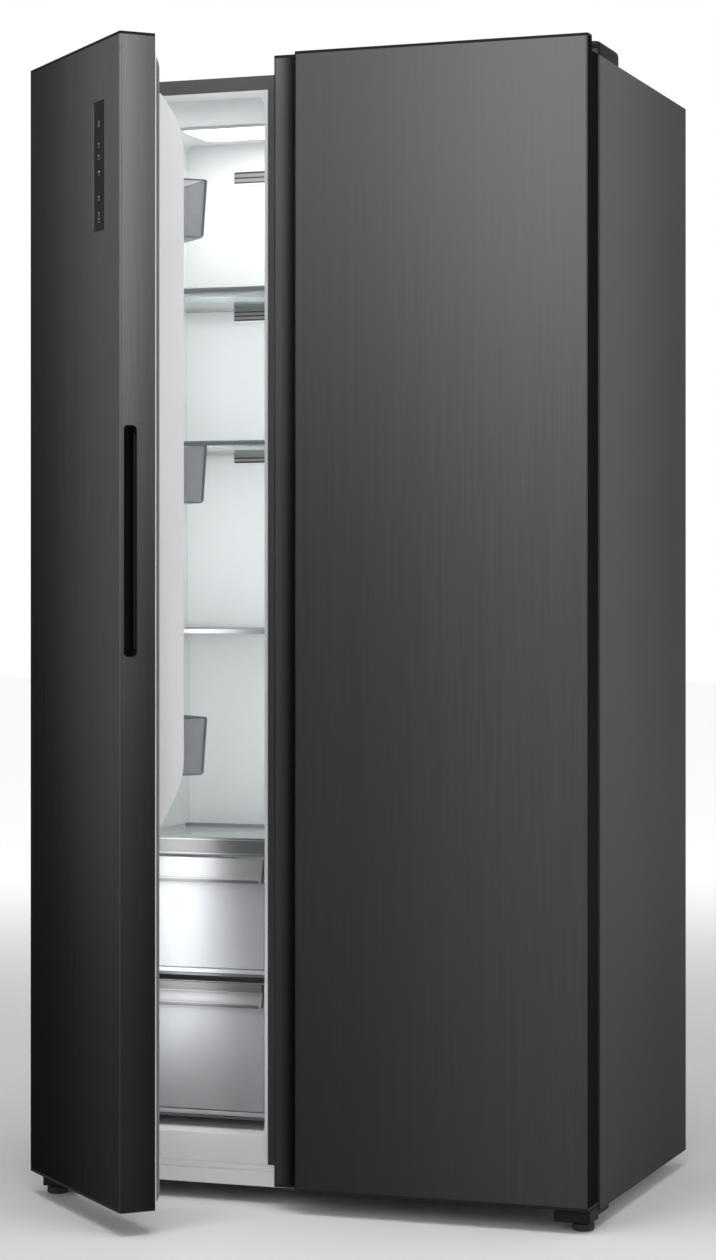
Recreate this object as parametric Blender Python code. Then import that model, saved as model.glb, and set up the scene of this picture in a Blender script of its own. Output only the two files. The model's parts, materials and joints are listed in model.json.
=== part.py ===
"""Side by side refrigerator: freezer on the left with its door ajar, fridge on the right with its door shut.

Metres, +Z up. The origin is the plan centre of the cabinet's underside, the doors face -Y and +X is to the
right of someone who faces them. Door sizes use the door's own coordinates: u runs from the hinge edge
towards the free edge, v runs from the front face towards the cabinet, both with the door shut.
"""

import math

import bmesh
import bpy
from mathutils import Matrix, Vector

# Overall
CABINET_W = 0.902
CABINET_D = 0.540
CABINET_H = 1.735
FLOOR_DROP = 0.026  # from the cabinet's underside down to the floor
CASE_T = 0.001
GAP = 0.0003  # between pieces that touch

# Front frame
RAIL_H = 0.0222
SIDE_FLANGE = 0.0385
SPLIT_OFFSET = 0.0035  # of the wall between the compartments from the freezer door's free edge
CENTER_RAIL_W = 0.0546
FRONT_PLATE_T = 0.002
LOWER_PANEL_H = 0.034
LINER_LIP = 0.0064  # width of liner that shows between its opening and the front frame

# Walls, as the room that each takes with its foam
FLOOR_WALL = 0.080
CEILING_WALL = 0.035
BACK_WALL = 0.055
LINER_T = 0.002
RIB_DEPTH = 0.008
RIB_H = 0.008

# Compressor compartment and the step that the liners take over it
MACHINE_D = 0.175
MACHINE_H = 0.216
STEP_WALL = 0.055
STEP_ROOF = 0.049
BASE_T = 0.0015

# Doors
DOOR_T = 0.0585
DOOR_GAP = 0.009
DOOR_BOTTOM = 0.0093
DOOR_RISE = 0.022  # of the doors' top above the cabinet's
DOOR_SKIN_T = 0.001
DOOR_CORNER_R = 0.003
DOOR_SPLIT_GAP = 0.0025
CHANNEL_W = 0.046  # finger channel between the doors' front panels
CHANNEL_DEPTH = 0.025
FREEZER_DOOR_W = 0.390
HINGE_IN = 0.018
HINGE_BACK = 0.040
FREEZER_REST_OPEN = 44.4  # degrees
CAP_T = 0.004
CAP_PLUG = 0.010
BOSS_H = 0.030
BOSS_W = 0.060
NOTCH_U = 0.036
NOTCH_V = 0.022
NOTCH_CLEAR = 0.001  # of the notch's floor below the cabinet's top

# Gaskets and door liners
GASKET_EDGE = 0.014
GASKET_FREE_EDGE = 0.008
GASKET_END = 0.005
GASKET_W = 0.020
GASKET_CLEAR = 0.0008
SEAL_CHANNEL_IN = 0.007  # of the channel that holds the seal, in from the seal's outer edge
SEAL_CHANNEL_W = 0.006
SEAL_CHANNEL_D = 0.0035
DOOR_LINER_T = 0.002
DOOR_LINER_EDGE = 0.0015
DYKE_H = 0.0635
DYKE_W = 0.018
DYKE_EDGE = 0.055
DYKE_TOP_EDGE = 0.077
DYKE_BOTTOM = 0.571
DYKE_SLANT_TOP = 0.056
DYKE_SLANT_BOTTOM = 0.074
DYKE_SHOULDER = 0.0254  # height of the ridges at their two ends
SWING_CLEAR = 0.004

# Door bins
BIN_GAP = 0.0025
BIN_WALL = 0.002
BIN_H = 0.088
BIN_D = 0.1095
LOWEST_BIN = 0.079  # its floor above the ridges' lower end
HIGHEST_BIN = 0.214  # its floor below the ridges' upper end
MIDDLE_BIN_SHIFT = 0.005  # its floor above the middle of the other two
BIN_LEDGE = (0.008, 0.050)  # height and depth of the ledges under the bins

# Handle pockets and the control panel
HANDLE_BOTTOM = 0.8317
HANDLE_TOP = 1.1746
FREEZER_HANDLE_V = (0.0062, 0.0271)
FRIDGE_HANDLE_V = (0.0048, 0.0205)
HANDLE_DEPTH = 0.028
HANDLE_WALL = 0.0014
PANEL_W = 0.0442
PANEL_H = 0.195
PANEL_T = 0.004
PANEL_FREE_EDGE = 0.0642
PANEL_TOP_EDGE = 0.092

# Shelves; a drop is measured down from the compartments' ceiling
SHELF_T = 0.005
SHELF_LIP_D = 0.010
SHELF_LIP_RISE = 0.003
SHELF_SIDE_GAP = 0.0010
SHELF_CLEAR = 0.0115  # between the shelves and the closed door's bins
SHELF_BACK_GAP = 0.002
FREEZER_SHELF_DROPS = (0.838, 0.535, 0.288)
FRIDGE_SHELF_DROPS = (0.940, 0.535)
RIB_SETBACK = 0.020
RIB_BACK = 0.030  # of the ribs' rear ends in front of the back cover
COVER_LIP_Z = (0.512, 0.540)
CRISPER_COVER_LIP_Z = (0.372, 0.400)
COVER_LIP_T = 0.010
COVER_PLATE_UP = 0.014
COVER_SETBACK = 0.030

# Drawers
DRAWER_SETBACK = 0.035
DRAWER_WALL = 0.0025
DRAWER_SIDE_GAP = 0.0105
DRAWER_BACK_GAP = 0.006
UPPER_DRAWER_Z = (0.320, 0.508)
LOWER_DRAWER_Z = (0.0955, 0.312)
CRISPER_Z = (0.0955, 0.368)
RUNNER_DROP = 0.020  # of a drawer's side runners below its rim
RUNNER_T = 0.004
RUNNER_CLEAR = 0.002
RUNNER_SETBACK = 0.006
HANDLE_REACH = 0.012
HANDLE_H = 0.038
HANDLE_RIM = 0.002
HANDLE_LIP = 0.003
CRISPER_PULL = (0.011, 0.006, 0.001)  # reach, lower edge and upper edge below the rim

# Top hinges, their covers, and the pins
PIN_R = 0.0045
PIN_GAP = 0.0004
PIN_DOWN = 0.017
PIN_UP = 0.018
PIN_CLEAR = 0.002  # of a pin's end from the bottom of its hole
TOP_ARM_T = 0.0035
TOP_ARM_W = 0.014
TOP_PLATE_X = (0.018, 0.080)
COVER_X = (0.004, 0.092)  # hinge cover's outer and inner edges, in from the cabinet's side
COVER_START = 0.012  # its front edge behind the cabinet's front
COVER_L = 0.117
COVER_H = 0.0255
COVER_WALL = 0.002

# Bottom hinges, feet and rollers
BRACKET_X = (0.0020, 0.058)
BRACKET_NOSE = 0.020  # in front of the pin
BRACKET_STEP = 0.0035  # from the cabinet's front to the step up under the door
BRACKET_L = 0.057
BRACKET_T = 0.0072
BRACKET_DROP = 0.0125
BRACKET_CLEAR = 0.003
FOOT_R = 0.0168
FOOT_H = 0.0120
FOOT_LOBES = 12
FOOT_GROOVE = 0.0012
STUD_R = 0.0045
STUD_CLEAR = 0.001
ROLLER_R = 0.018
ROLLER_W = 0.022
ROLLER_SIDE = 0.071
ROLLER_BACK = 0.070
ROLLER_CLEAR = 0.003
AXLE_R = 0.004
EAR_T = 0.003
EAR_W = 0.028
EAR_WALL = 0.004

# Freezer back cover, evaporator and fan
BACK_COVER_D = 0.049
BACK_COVER_LOW_D = 0.039
BACK_COVER_T = 0.002
BACK_COVER_STEP_DROP = 0.854
BACK_COVER_START = 0.010  # above the step
VENT_W = 0.137
VENT_H = 0.0055
VENT_DROPS = (0.544, 0.522, 0.300, 0.265, 0.064, 0.053)
EVAPORATOR_H = 0.300
EVAPORATOR_UP = 0.235  # above the step
EVAPORATOR_SIDE = 0.03215
EVAPORATOR_GAP = 0.003
EVAPORATOR_PLATE = 0.006
FIN_COUNT = 24
FAN_DROP = 0.410
FAN_STANDOFF = 0.020
FAN_R = 0.052
FAN_HUB_R = 0.016
FAN_HUB_T = 0.016
FAN_BORE_R = 0.0034
FAN_SPINDLE_R = 0.0030
FAN_SPINDLE_L = 0.030
FAN_MOTOR_L = 0.010
FAN_BLADES = 5
BLADE_T = 0.002
BLADE_W = 0.022
BLADE_PITCH = 25  # degrees
DUCT_W = 0.120
DUCT_D = 0.025
DUCT_BOTTOM = 0.450
DUCT_TOP_GAP = 0.010
DUCT_SLOTS = 4

# Lights
LAMP_W = 0.170
LAMP_START = 0.245
LAMP_L = 0.113
LAMP_H = 0.007

# Compressor, drip tray, rear cover and cord entry
COMPRESSOR_R = 0.066
COMPRESSOR_SIDE = 0.221
COMPRESSOR_Z = (0.022, 0.165)
MOUNT_PLATE = (0.190, 0.120)
MOUNT_PLATE_Z = (0.014, 0.026)
GROMMET_R = 0.011
GROMMET_INSET = 0.015
TRAY_L = 0.270
TRAY_FROM_COMPRESSOR = 0.140
TRAY_H = 0.045
TRAY_FRONT_GAP = 0.012
TRAY_BACK_GAP = 0.030
COVER_PLATE_T = 0.0025
COVER_PLATE_EDGE = 0.004
COVER_BULGE = 0.014
COVER_BULGE_EDGE = 0.020
COVER_BULGE_WALL = 0.002
GRILLE_SLOTS = 12
GRILLE_PITCH = 0.026
GRILLE_SLOT_W = 0.012
GRILLE_START = 0.150  # of the first slot from the compressor's middle
GRILLE_EDGE = 0.045
GLAND_SIDE = 0.121
GLAND_Z = 0.120
GLAND_R = 0.011
GLAND_BORE_R = 0.0045
GLAND_RIM = 0.003
GLAND_HEAD = 0.004
GLAND_NECK = 0.008

BEYOND = 0.1  # how far a cutter passes what it cuts
SHORT_OF = 0.01  # the same where something lies behind

HALF_W = CABINET_W / 2
FRONT = -CABINET_D / 2
BACK = CABINET_D / 2
DOOR_TOP = CABINET_H + DOOR_RISE
DOOR_FRONT = FRONT - DOOR_GAP - DOOR_T
HINGE_X = HALF_W - HINGE_IN
HINGE_Y = DOOR_FRONT + HINGE_BACK
SKIN_BACK = DOOR_T - DOOR_LINER_T - GAP
FRAME_TOP = CABINET_H - RAIL_H
SPLIT_X = -HALF_W + FREEZER_DOOR_W + SPLIT_OFFSET
OPENING_L = -HALF_W + SIDE_FLANGE + GAP + LINER_LIP
OPENING_R = HALF_W - SIDE_FLANGE - GAP - LINER_LIP
FREEZER_X = (OPENING_L, SPLIT_X - CENTER_RAIL_W / 2 - GAP - LINER_LIP)
FRIDGE_X = (SPLIT_X + CENTER_RAIL_W / 2 + GAP + LINER_LIP, OPENING_R)
FRIDGE_DOOR_W = CABINET_W - FREEZER_DOOR_W - DOOR_SPLIT_GAP
FRIDGE_PANEL_W = FRIDGE_DOOR_W - CHANNEL_W + DOOR_SPLIT_GAP
FOAM_FRONT = FRONT + FRONT_PLATE_T + GAP
NOTCH_FLOOR = CABINET_H - NOTCH_CLEAR

LINER_FLOOR = FLOOR_WALL
LINER_CEILING = CABINET_H - CEILING_WALL
LINER_BACK = BACK - BACK_WALL
MACHINE_FRONT = BACK - MACHINE_D
STEP_BACK = MACHINE_FRONT - STEP_WALL
STEP_TOP = MACHINE_H + STEP_ROOF
BACK_COVER_Y = LINER_BACK - BACK_COVER_D
BACK_COVER_LOW_Y = LINER_BACK - BACK_COVER_LOW_D
BACK_COVER_STEP = LINER_CEILING - BACK_COVER_STEP_DROP
VENTS = [LINER_CEILING - drop for drop in VENT_DROPS]
EVAPORATOR_Z = (STEP_TOP + EVAPORATOR_UP, STEP_TOP + EVAPORATOR_UP + EVAPORATOR_H)
FAN_Z = LINER_CEILING - FAN_DROP
DUCT_Y = LINER_BACK - DUCT_D
DUCT_Z = (DUCT_BOTTOM, LINER_CEILING - DUCT_TOP_GAP)

BIN_FRONT = DOOR_T + BIN_D
DYKE_TOP = DOOR_TOP - DYKE_TOP_EDGE
BIN_ENDS = (DYKE_BOTTOM + LOWEST_BIN, DYKE_TOP - HIGHEST_BIN)
BIN_FLOORS = (BIN_ENDS[0], sum(BIN_ENDS) / 2 + MIDDLE_BIN_SHIFT, BIN_ENDS[1])
PANEL_U = (FREEZER_DOOR_W - PANEL_FREE_EDGE - PANEL_W, FREEZER_DOOR_W - PANEL_FREE_EDGE)
PANEL_Z = (DOOR_TOP - PANEL_TOP_EDGE - PANEL_H, DOOR_TOP - PANEL_TOP_EDGE)
SHELF_FRONT = DOOR_FRONT + BIN_FRONT + SHELF_CLEAR
FREEZER_SHELVES = [LINER_CEILING - drop for drop in FREEZER_SHELF_DROPS]
FRIDGE_SHELVES = [LINER_CEILING - drop for drop in FRIDGE_SHELF_DROPS]
COVER_FRONT = FRONT + COVER_SETBACK
DRAWER_FRONT = FRONT + DRAWER_SETBACK
COVER_Y = (FRONT + COVER_START, FRONT + COVER_START + COVER_L)
BRACKET_Y = (HINGE_Y - BRACKET_NOSE, FRONT + BRACKET_L)
BRACKET_STEP_Y = FRONT - BRACKET_STEP
ROLLER_X = HALF_W - ROLLER_SIDE
ROLLER_Y = BACK - ROLLER_BACK
COMPRESSOR_X = HALF_W - COMPRESSOR_SIDE
GLAND_X = -HALF_W + GLAND_SIDE
LEFT = -1
RIGHT = 1

COLOURS = {
    "dark_steel": ((0.070, 0.070, 0.073), 0.38, 0.85),
    "painted_case": ((0.105, 0.105, 0.108), 0.45, 0.20),
    "white_plastic": ((0.86, 0.87, 0.88), 0.35, 0.0),
    "foam": ((0.80, 0.72, 0.48), 0.9, 0.0),
    "galvanised": ((0.55, 0.56, 0.57), 0.45, 0.9),
    "black_plastic": ((0.018, 0.018, 0.020), 0.5, 0.0),
    "gasket_grey": ((0.25, 0.25, 0.26), 0.7, 0.0),
    "clear_glass": ((0.80, 0.88, 0.87), 0.05, 0.0),
    "clear_plastic": ((0.60, 0.63, 0.66), 0.12, 0.0),
    "drawer_plastic": ((0.72, 0.74, 0.76), 0.30, 0.0),
    "silver_plastic": ((0.62, 0.63, 0.65), 0.28, 0.6),
    "aluminium": ((0.75, 0.76, 0.77), 0.35, 1.0),
    "lamp_lens": ((0.95, 0.95, 0.93), 0.2, 0.0),
    "panel_glass": ((0.035, 0.035, 0.038), 0.12, 0.0),
    "compressor_black": ((0.012, 0.012, 0.013), 0.35, 0.1),
}


# ---------------------------------------------------------------- helpers


def material(slot):
    """The material of one finish, made on its first use."""
    found = bpy.data.materials.get(slot)
    if found:
        return found
    colour, roughness, metallic = COLOURS[slot]
    made = bpy.data.materials.new(slot)
    made.use_nodes = True
    shader = made.node_tree.nodes["Principled BSDF"]
    shader.inputs["Base Color"].default_value = (*colour, 1.0)
    shader.inputs["Roughness"].default_value = roughness
    shader.inputs["Metallic"].default_value = metallic
    made.diffuse_color = (*colour, 1.0)
    return made


def add_box(bm, x, y, z):
    """A box between two values on each axis, in either order."""
    low = Vector((min(x), min(y), min(z)))
    high = Vector((max(x), max(y), max(z)))
    place = Matrix.Translation((low + high) / 2) @ Matrix.Diagonal((*(high - low), 1.0))
    bmesh.ops.create_cube(bm, size=1.0, matrix=place)


def add_prism(bm, outline, axis, start, end):
    """A flat outline pushed along an axis; its pairs are the two other axes in X, Y, Z order."""

    def place(pair, along):
        values = list(pair)
        values.insert("XYZ".index(axis), along)
        return values

    face = bm.faces.new([bm.verts.new(place(pair, start)) for pair in outline])
    made = bmesh.ops.extrude_face_region(bm, geom=[face])
    moved = [item for item in made["geom"] if isinstance(item, bmesh.types.BMVert)]
    push = Vector(place((0.0, 0.0), end - start))
    bmesh.ops.translate(bm, vec=push, verts=moved)
    bmesh.ops.recalc_face_normals(bm, faces=bm.faces)


def circle(centre, radius, steps=24):
    """The points of a circle in a plane."""
    turns = [2 * math.pi * k / steps for k in range(steps)]
    return [(centre[0] + radius * math.cos(a), centre[1] + radius * math.sin(a)) for a in turns]


def add_cylinder(bm, centre, radius, axis, start, end, steps=24):
    add_prism(bm, circle(centre, radius, steps), axis, start, end)


def rounded(path, radius, steps=4):
    """A path with each square corner between its ends turned into an arc."""
    points = [Vector(p) for p in path]
    out = [points[0]]
    for before, corner, after in zip(points, points[1:], points[2:]):
        a = (before - corner).normalized()
        b = (after - corner).normalized()
        centre = corner + (a + b) * radius
        for k in range(steps + 1):
            angle = math.pi / 2 * k / steps
            out.append(centre - radius * (b * math.cos(angle) + a * math.sin(angle)))
    out.append(points[-1])
    return out


def sheet(path, thickness):
    """The closed outline of a sheet that follows a path, with its thickness to the left of the path."""
    points = [Vector(p) for p in path]
    ways = [(b - a).normalized() for a, b in zip(points, points[1:])]
    normals = [Vector((-way.y, way.x)) for way in ways]
    before = [normals[0], *normals]
    after = [*normals, normals[-1]]
    inner = []
    for point, n1, n2 in zip(points, before, after):
        inner.append(point + (n1 + n2) * (thickness / (1 + n1.dot(n2))))
    return [tuple(p) for p in points] + [tuple(p) for p in reversed(inner)]


def add_ring(bm, outer, inner, z_pairs, y):
    """A flat rectangular ring in the X-Z plane between two Y values."""
    x0, x1 = outer
    i0, i1 = inner
    (z0, z1), (h0, h1) = z_pairs
    rings = []
    for depth in y:
        out = [(x0, z0), (x1, z0), (x1, z1), (x0, z1)]
        hole = [(i0, h0), (i1, h0), (i1, h1), (i0, h1)]
        rings.append([[bm.verts.new((a, depth, b)) for a, b in ring] for ring in (out, hole)])
    for k in range(4):
        n = (k + 1) % 4
        (out_a, hole_a), (out_b, hole_b) = rings
        bm.faces.new((out_a[k], out_a[n], hole_a[n], hole_a[k]))
        bm.faces.new((out_b[k], out_b[n], hole_b[n], hole_b[k]))
        bm.faces.new((out_a[k], out_a[n], out_b[n], out_b[k]))
        bm.faces.new((hole_a[k], hole_a[n], hole_b[n], hole_b[k]))
    bmesh.ops.recalc_face_normals(bm, faces=bm.faces)


def add_tray(bm, x, y, z, wall):
    """A box open at the top, with one wall thickness."""
    x, y, z = sorted(x), sorted(y), sorted(z)
    floor_z = z[0] + wall
    inner_x = (x[0] + wall, x[1] - wall)
    inner_y = (y[0] + wall, y[1] - wall)

    def ring(xs, ys, height):
        corners = [(xs[0], ys[0]), (xs[1], ys[0]), (xs[1], ys[1]), (xs[0], ys[1])]
        return [bm.verts.new((a, b, height)) for a, b in corners]

    outer = [ring(x, y, z[0]), ring(x, y, z[1])]
    rings = [*outer, ring(inner_x, inner_y, z[1]), ring(inner_x, inner_y, floor_z)]
    bm.faces.new(rings[0])
    bm.faces.new(rings[3])
    for low, high in zip(rings, rings[1:]):
        for k in range(4):
            n = (k + 1) % 4
            bm.faces.new((low[k], low[n], high[n], high[k]))
    bmesh.ops.recalc_face_normals(bm, faces=bm.faces)


def make(name, bm, slot=None, parent=None, location=(0.0, 0.0, 0.0)):
    """An object from a bmesh, with its finish, at its place under its parent."""
    mesh = bpy.data.meshes.new(name)
    bm.to_mesh(mesh)
    bm.free()
    obj = bpy.data.objects.new(name, mesh)
    bpy.context.scene.collection.objects.link(obj)
    obj.parent = parent
    obj.location = location
    if slot:
        mesh.materials.append(material(slot))
    return obj


def shape(obj, operation, add, *places):
    """Cuts or joins one helper solid per place; add(bm, place) draws it in the object's own coordinates."""
    for index, place in enumerate(places):
        bm = bmesh.new()
        add(bm, place)
        name = f"{obj.name}_{operation.lower()}_{len(obj.modifiers)}_{index}"
        tool = make(name, bm, None, obj.parent, obj.location)
        tool.hide_render = True
        tool.display_type = "WIRE"
        tool.hide_set(True)
        modifier = obj.modifiers.new(tool.name, "BOOLEAN")
        modifier.operation = operation
        modifier.object = tool


def box_place(bm, place):
    add_box(bm, *place)


def cut_boxes(obj, *places):
    shape(obj, "DIFFERENCE", box_place, *places)


def join_boxes(obj, *places):
    shape(obj, "UNION", box_place, *places)


def soften(obj, width, segments=2, angle=40):
    """Rounds the sharp edges that are left after the cuts."""
    bevel = obj.modifiers.new("soft_edges", "BEVEL")
    bevel.width = width
    bevel.segments = segments
    bevel.limit_method = "ANGLE"
    bevel.angle_limit = math.radians(angle)


def smooth(obj, angle=35):
    obj.data.shade_smooth()
    obj.data.set_sharp_from_angle(angle=math.radians(angle))


def empty(name, location, turn=0.0):
    """The axis of a moving piece."""
    axis = bpy.data.objects.new(name, None)
    bpy.context.scene.collection.objects.link(axis)
    axis.location = location
    axis.rotation_euler = (0.0, 0.0, turn)
    return axis


# ---------------------------------------------------------------- cabinet shell


def outer_case():
    """Steel wrap of the two sides and the top, folded inwards round the front."""
    corner = 0.0015
    path = [(-HALF_W, 0.0), (-HALF_W, CABINET_H), (HALF_W, CABINET_H), (HALF_W, 0.0)]
    bm = bmesh.new()
    add_prism(bm, [tuple(p) for p in rounded(path, corner)], "Y", FRONT, BACK)
    case = make("outer_case", bm, "painted_case")
    inside = HALF_W - CASE_T
    roof = CABINET_H - CASE_T
    hollow = [(-inside, -BEYOND), (-inside, roof), (inside, roof), (inside, -BEYOND)]
    hollow = [tuple(p) for p in rounded(hollow, corner - CASE_T)]
    depth = (FRONT + CASE_T, BACK + BEYOND)
    shape(case, "DIFFERENCE", lambda tool, y: add_prism(tool, hollow, "Y", *y), depth)
    window = HALF_W - SIDE_FLANGE
    cut_boxes(case, ((-window, window), (FRONT - BEYOND, FRONT + BEYOND), (-BEYOND, FRAME_TOP)))
    smooth(case)


def back_panel():
    """Rear sheet, folded forwards and down over the compressor compartment."""
    back = BACK - GAP
    top = CABINET_H - CASE_T - GAP
    path = [(back, top), (back, MACHINE_H), (MACHINE_FRONT, MACHINE_H), (MACHINE_FRONT, BASE_T + GAP)]
    half = HALF_W - CASE_T - GAP
    bm = bmesh.new()
    add_prism(bm, sheet(path[::-1], CASE_T), "X", -half, half)
    make("back_panel", bm, "galvanised")


def base_plate():
    """Steel floor of the cabinet, with windows for the rollers and ears for their axle."""
    half = HALF_W - CASE_T - GAP
    bm = bmesh.new()
    add_box(bm, (-half, half), (FOAM_FRONT, BACK - GAP), (0.0, BASE_T))
    base = make("base_plate", bm, "galvanised")
    reach = ROLLER_R + ROLLER_CLEAR
    edge = ROLLER_W / 2 + ROLLER_CLEAR
    axle_z = ROLLER_R - FLOOR_DROP
    low = axle_z - AXLE_R - EAR_WALL
    ear_y = (ROLLER_Y - EAR_W / 2, ROLLER_Y + EAR_W / 2)
    for side in (LEFT, RIGHT):
        centre = side * ROLLER_X
        window = ((centre - edge, centre + edge), (ROLLER_Y - reach, ROLLER_Y + reach))
        cut_boxes(base, (*window, (-BEYOND, BEYOND)))
        ear = side * (ROLLER_X - edge - EAR_WALL)
        join_boxes(base, ((ear, ear - side * EAR_T), ear_y, (low, BASE_T / 2)))
        bore = ((ROLLER_Y, axle_z), AXLE_R + PIN_GAP, "X", ear - SHORT_OF, ear + SHORT_OF, 16)
        shape(base, "DIFFERENCE", lambda tool, place: add_cylinder(tool, *place), bore)


def liner_side_outline(grow):
    """Side profile of a compartment, Y then Z, grown outwards by a wall."""
    return [
        (FRONT + FRONT_PLATE_T / 2, LINER_FLOOR - grow),
        (STEP_BACK + grow, LINER_FLOOR - grow),
        (STEP_BACK + grow, STEP_TOP - grow),
        (LINER_BACK + grow, STEP_TOP - grow),
        (LINER_BACK + grow, LINER_CEILING + grow),
        (FRONT + FRONT_PLATE_T / 2, LINER_CEILING + grow),
    ]


def open_outline(grow):
    """The same profile with its mouth carried out past the cabinet's front."""
    mouth = FRONT + FRONT_PLATE_T
    return [(FRONT - BEYOND if y < mouth else y, z) for y, z in liner_side_outline(grow)]


def liner_flange_x(inside):
    """Outer edges of the flange round a compartment's mouth."""
    return (inside[0] - LINER_LIP, inside[1] + LINER_LIP)


def rib_places(inside, ribs):
    """Boxes of the ribs on both side walls; each rib is (top, front, back)."""
    places = []
    for top, front, back in ribs:
        for wall, way in ((inside[0], 1), (inside[1], -1)):
            across = (wall - way * LINER_T / 2, wall + way * RIB_DEPTH)
            places.append((across, (front, back), (top - RIB_H, top)))
    return places


def liner(name, inside, ribs):
    """One moulded compartment: walls, the step over the compressor, the flange and the shelf ribs."""
    bm = bmesh.new()
    add_prism(bm, liner_side_outline(LINER_T), "X", inside[0] - LINER_T, inside[1] + LINER_T)
    body = make(name, bm, "white_plastic")
    flange_z = (LOWER_PANEL_H + GAP, FRAME_TOP - GAP)
    join_boxes(body, (liner_flange_x(inside), (FRONT, FRONT + FRONT_PLATE_T), flange_z))
    hollow = open_outline(0.0)
    shape(body, "DIFFERENCE", lambda tool, x: add_prism(tool, hollow, "X", *x), inside)
    join_boxes(body, *rib_places(inside, ribs))


def shelf_ribs(levels, cover_lip):
    """(top, front, back) of the ribs under the shelves and the drawer cover."""
    back = BACK_COVER_Y - RIB_BACK
    ribs = [(z - GAP, SHELF_FRONT + RIB_SETBACK, back) for z in levels]
    ribs.append((cover_plate_z(cover_lip)[0] - GAP, COVER_FRONT + RIB_SETBACK, back))
    return ribs


def runner_top(drawer_z):
    """Height of the ribs that carry a drawer."""
    return drawer_z[1] - RUNNER_DROP - GAP


def cover_plate_z(lip):
    """Underside and top of the glass behind a drawer cover's front trim."""
    return (lip[0] + COVER_PLATE_UP, lip[0] + COVER_PLATE_UP + SHELF_T)


def freezer_liner():
    ribs = shelf_ribs(FREEZER_SHELVES, COVER_LIP_Z)
    front = DRAWER_FRONT + RIB_SETBACK
    ribs.append((runner_top(UPPER_DRAWER_Z), front, BACK_COVER_Y - RIB_BACK))
    ribs.append((runner_top(LOWER_DRAWER_Z), front, STEP_BACK - RIB_SETBACK))
    liner("freezer_liner", FREEZER_X, ribs)


def fridge_liner():
    ribs = shelf_ribs(FRIDGE_SHELVES, CRISPER_COVER_LIP_Z)
    ribs.append((runner_top(CRISPER_Z), DRAWER_FRONT + RIB_SETBACK, STEP_BACK - RIB_SETBACK))
    liner("fridge_liner", FRIDGE_X, ribs)


def insulation_foam():
    """Foam poured between the case, the back panel and both liners."""
    half = HALF_W - CASE_T - GAP
    back = BACK - CASE_T - 2 * GAP
    machine = MACHINE_FRONT - CASE_T - GAP
    roof = MACHINE_H + CASE_T + GAP
    top = CABINET_H - CASE_T - GAP
    low = BASE_T + GAP
    outline = [
        (FOAM_FRONT, low),
        (machine, low),
        (machine, roof),
        (back, roof),
        (back, top),
        (FOAM_FRONT, top),
    ]
    bm = bmesh.new()
    add_prism(bm, outline, "X", -half, half)
    foam = make("insulation_foam", bm, "foam")
    grow = LINER_T + GAP
    hollow = open_outline(grow)
    for inside in (FREEZER_X, FRIDGE_X):
        place = (inside[0] - grow, inside[1] + grow)
        shape(foam, "DIFFERENCE", lambda tool, x: add_prism(tool, hollow, "X", *x), place)


def center_rail():
    """Dark cover of the wall between the compartments."""
    half = CENTER_RAIL_W / 2
    bm = bmesh.new()
    height = (LOWER_PANEL_H + GAP, FRAME_TOP - GAP)
    add_box(bm, (SPLIT_X - half, SPLIT_X + half), (FRONT, FRONT + FRONT_PLATE_T), height)
    make("center_rail", bm, "painted_case")


def lower_front_panel():
    half = HALF_W - SIDE_FLANGE - GAP
    bm = bmesh.new()
    add_box(bm, (-half, half), (FRONT, FRONT + FRONT_PLATE_T), (0.0, LOWER_PANEL_H))
    make("lower_front_panel", bm, "white_plastic")


# ---------------------------------------------------------------- inside the compartments


def middle(pair):
    return (pair[0] + pair[1]) / 2


def freezer_back_cover():
    """Stepped panel in front of the evaporator, with its air slots and the fan's spindle."""
    back = LINER_BACK - GAP
    top = LINER_CEILING - GAP
    low = STEP_TOP + BACK_COVER_START
    path = [
        (back, low),
        (BACK_COVER_LOW_Y, low),
        (BACK_COVER_LOW_Y, BACK_COVER_STEP),
        (BACK_COVER_Y, BACK_COVER_STEP),
        (BACK_COVER_Y, top),
        (back, top),
    ]
    bm = bmesh.new()
    add_prism(bm, sheet(path[::-1], BACK_COVER_T), "X", FREEZER_X[0] + GAP, FREEZER_X[1] - GAP)
    cover = make("freezer_back_cover", bm, "white_plastic")
    centre = middle(FREEZER_X)
    across = (centre - VENT_W / 2, centre + VENT_W / 2)
    depth = (BACK_COVER_Y - SHORT_OF, BACK_COVER_Y + SHORT_OF)
    slots = [(across, depth, (z - VENT_H / 2, z + VENT_H / 2)) for z in VENTS]
    cut_boxes(cover, *slots)
    root = BACK_COVER_Y + BACK_COVER_T / 2
    axis = (centre, FAN_Z)
    spindle = (axis, FAN_SPINDLE_R, "Y", root, BACK_COVER_Y + FAN_SPINDLE_L, 16)
    motor = (axis, FAN_HUB_R, "Y", root, BACK_COVER_Y + FAN_MOTOR_L, 20)
    shape(cover, "UNION", lambda tool, place: add_cylinder(tool, *place), motor, spindle)


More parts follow.
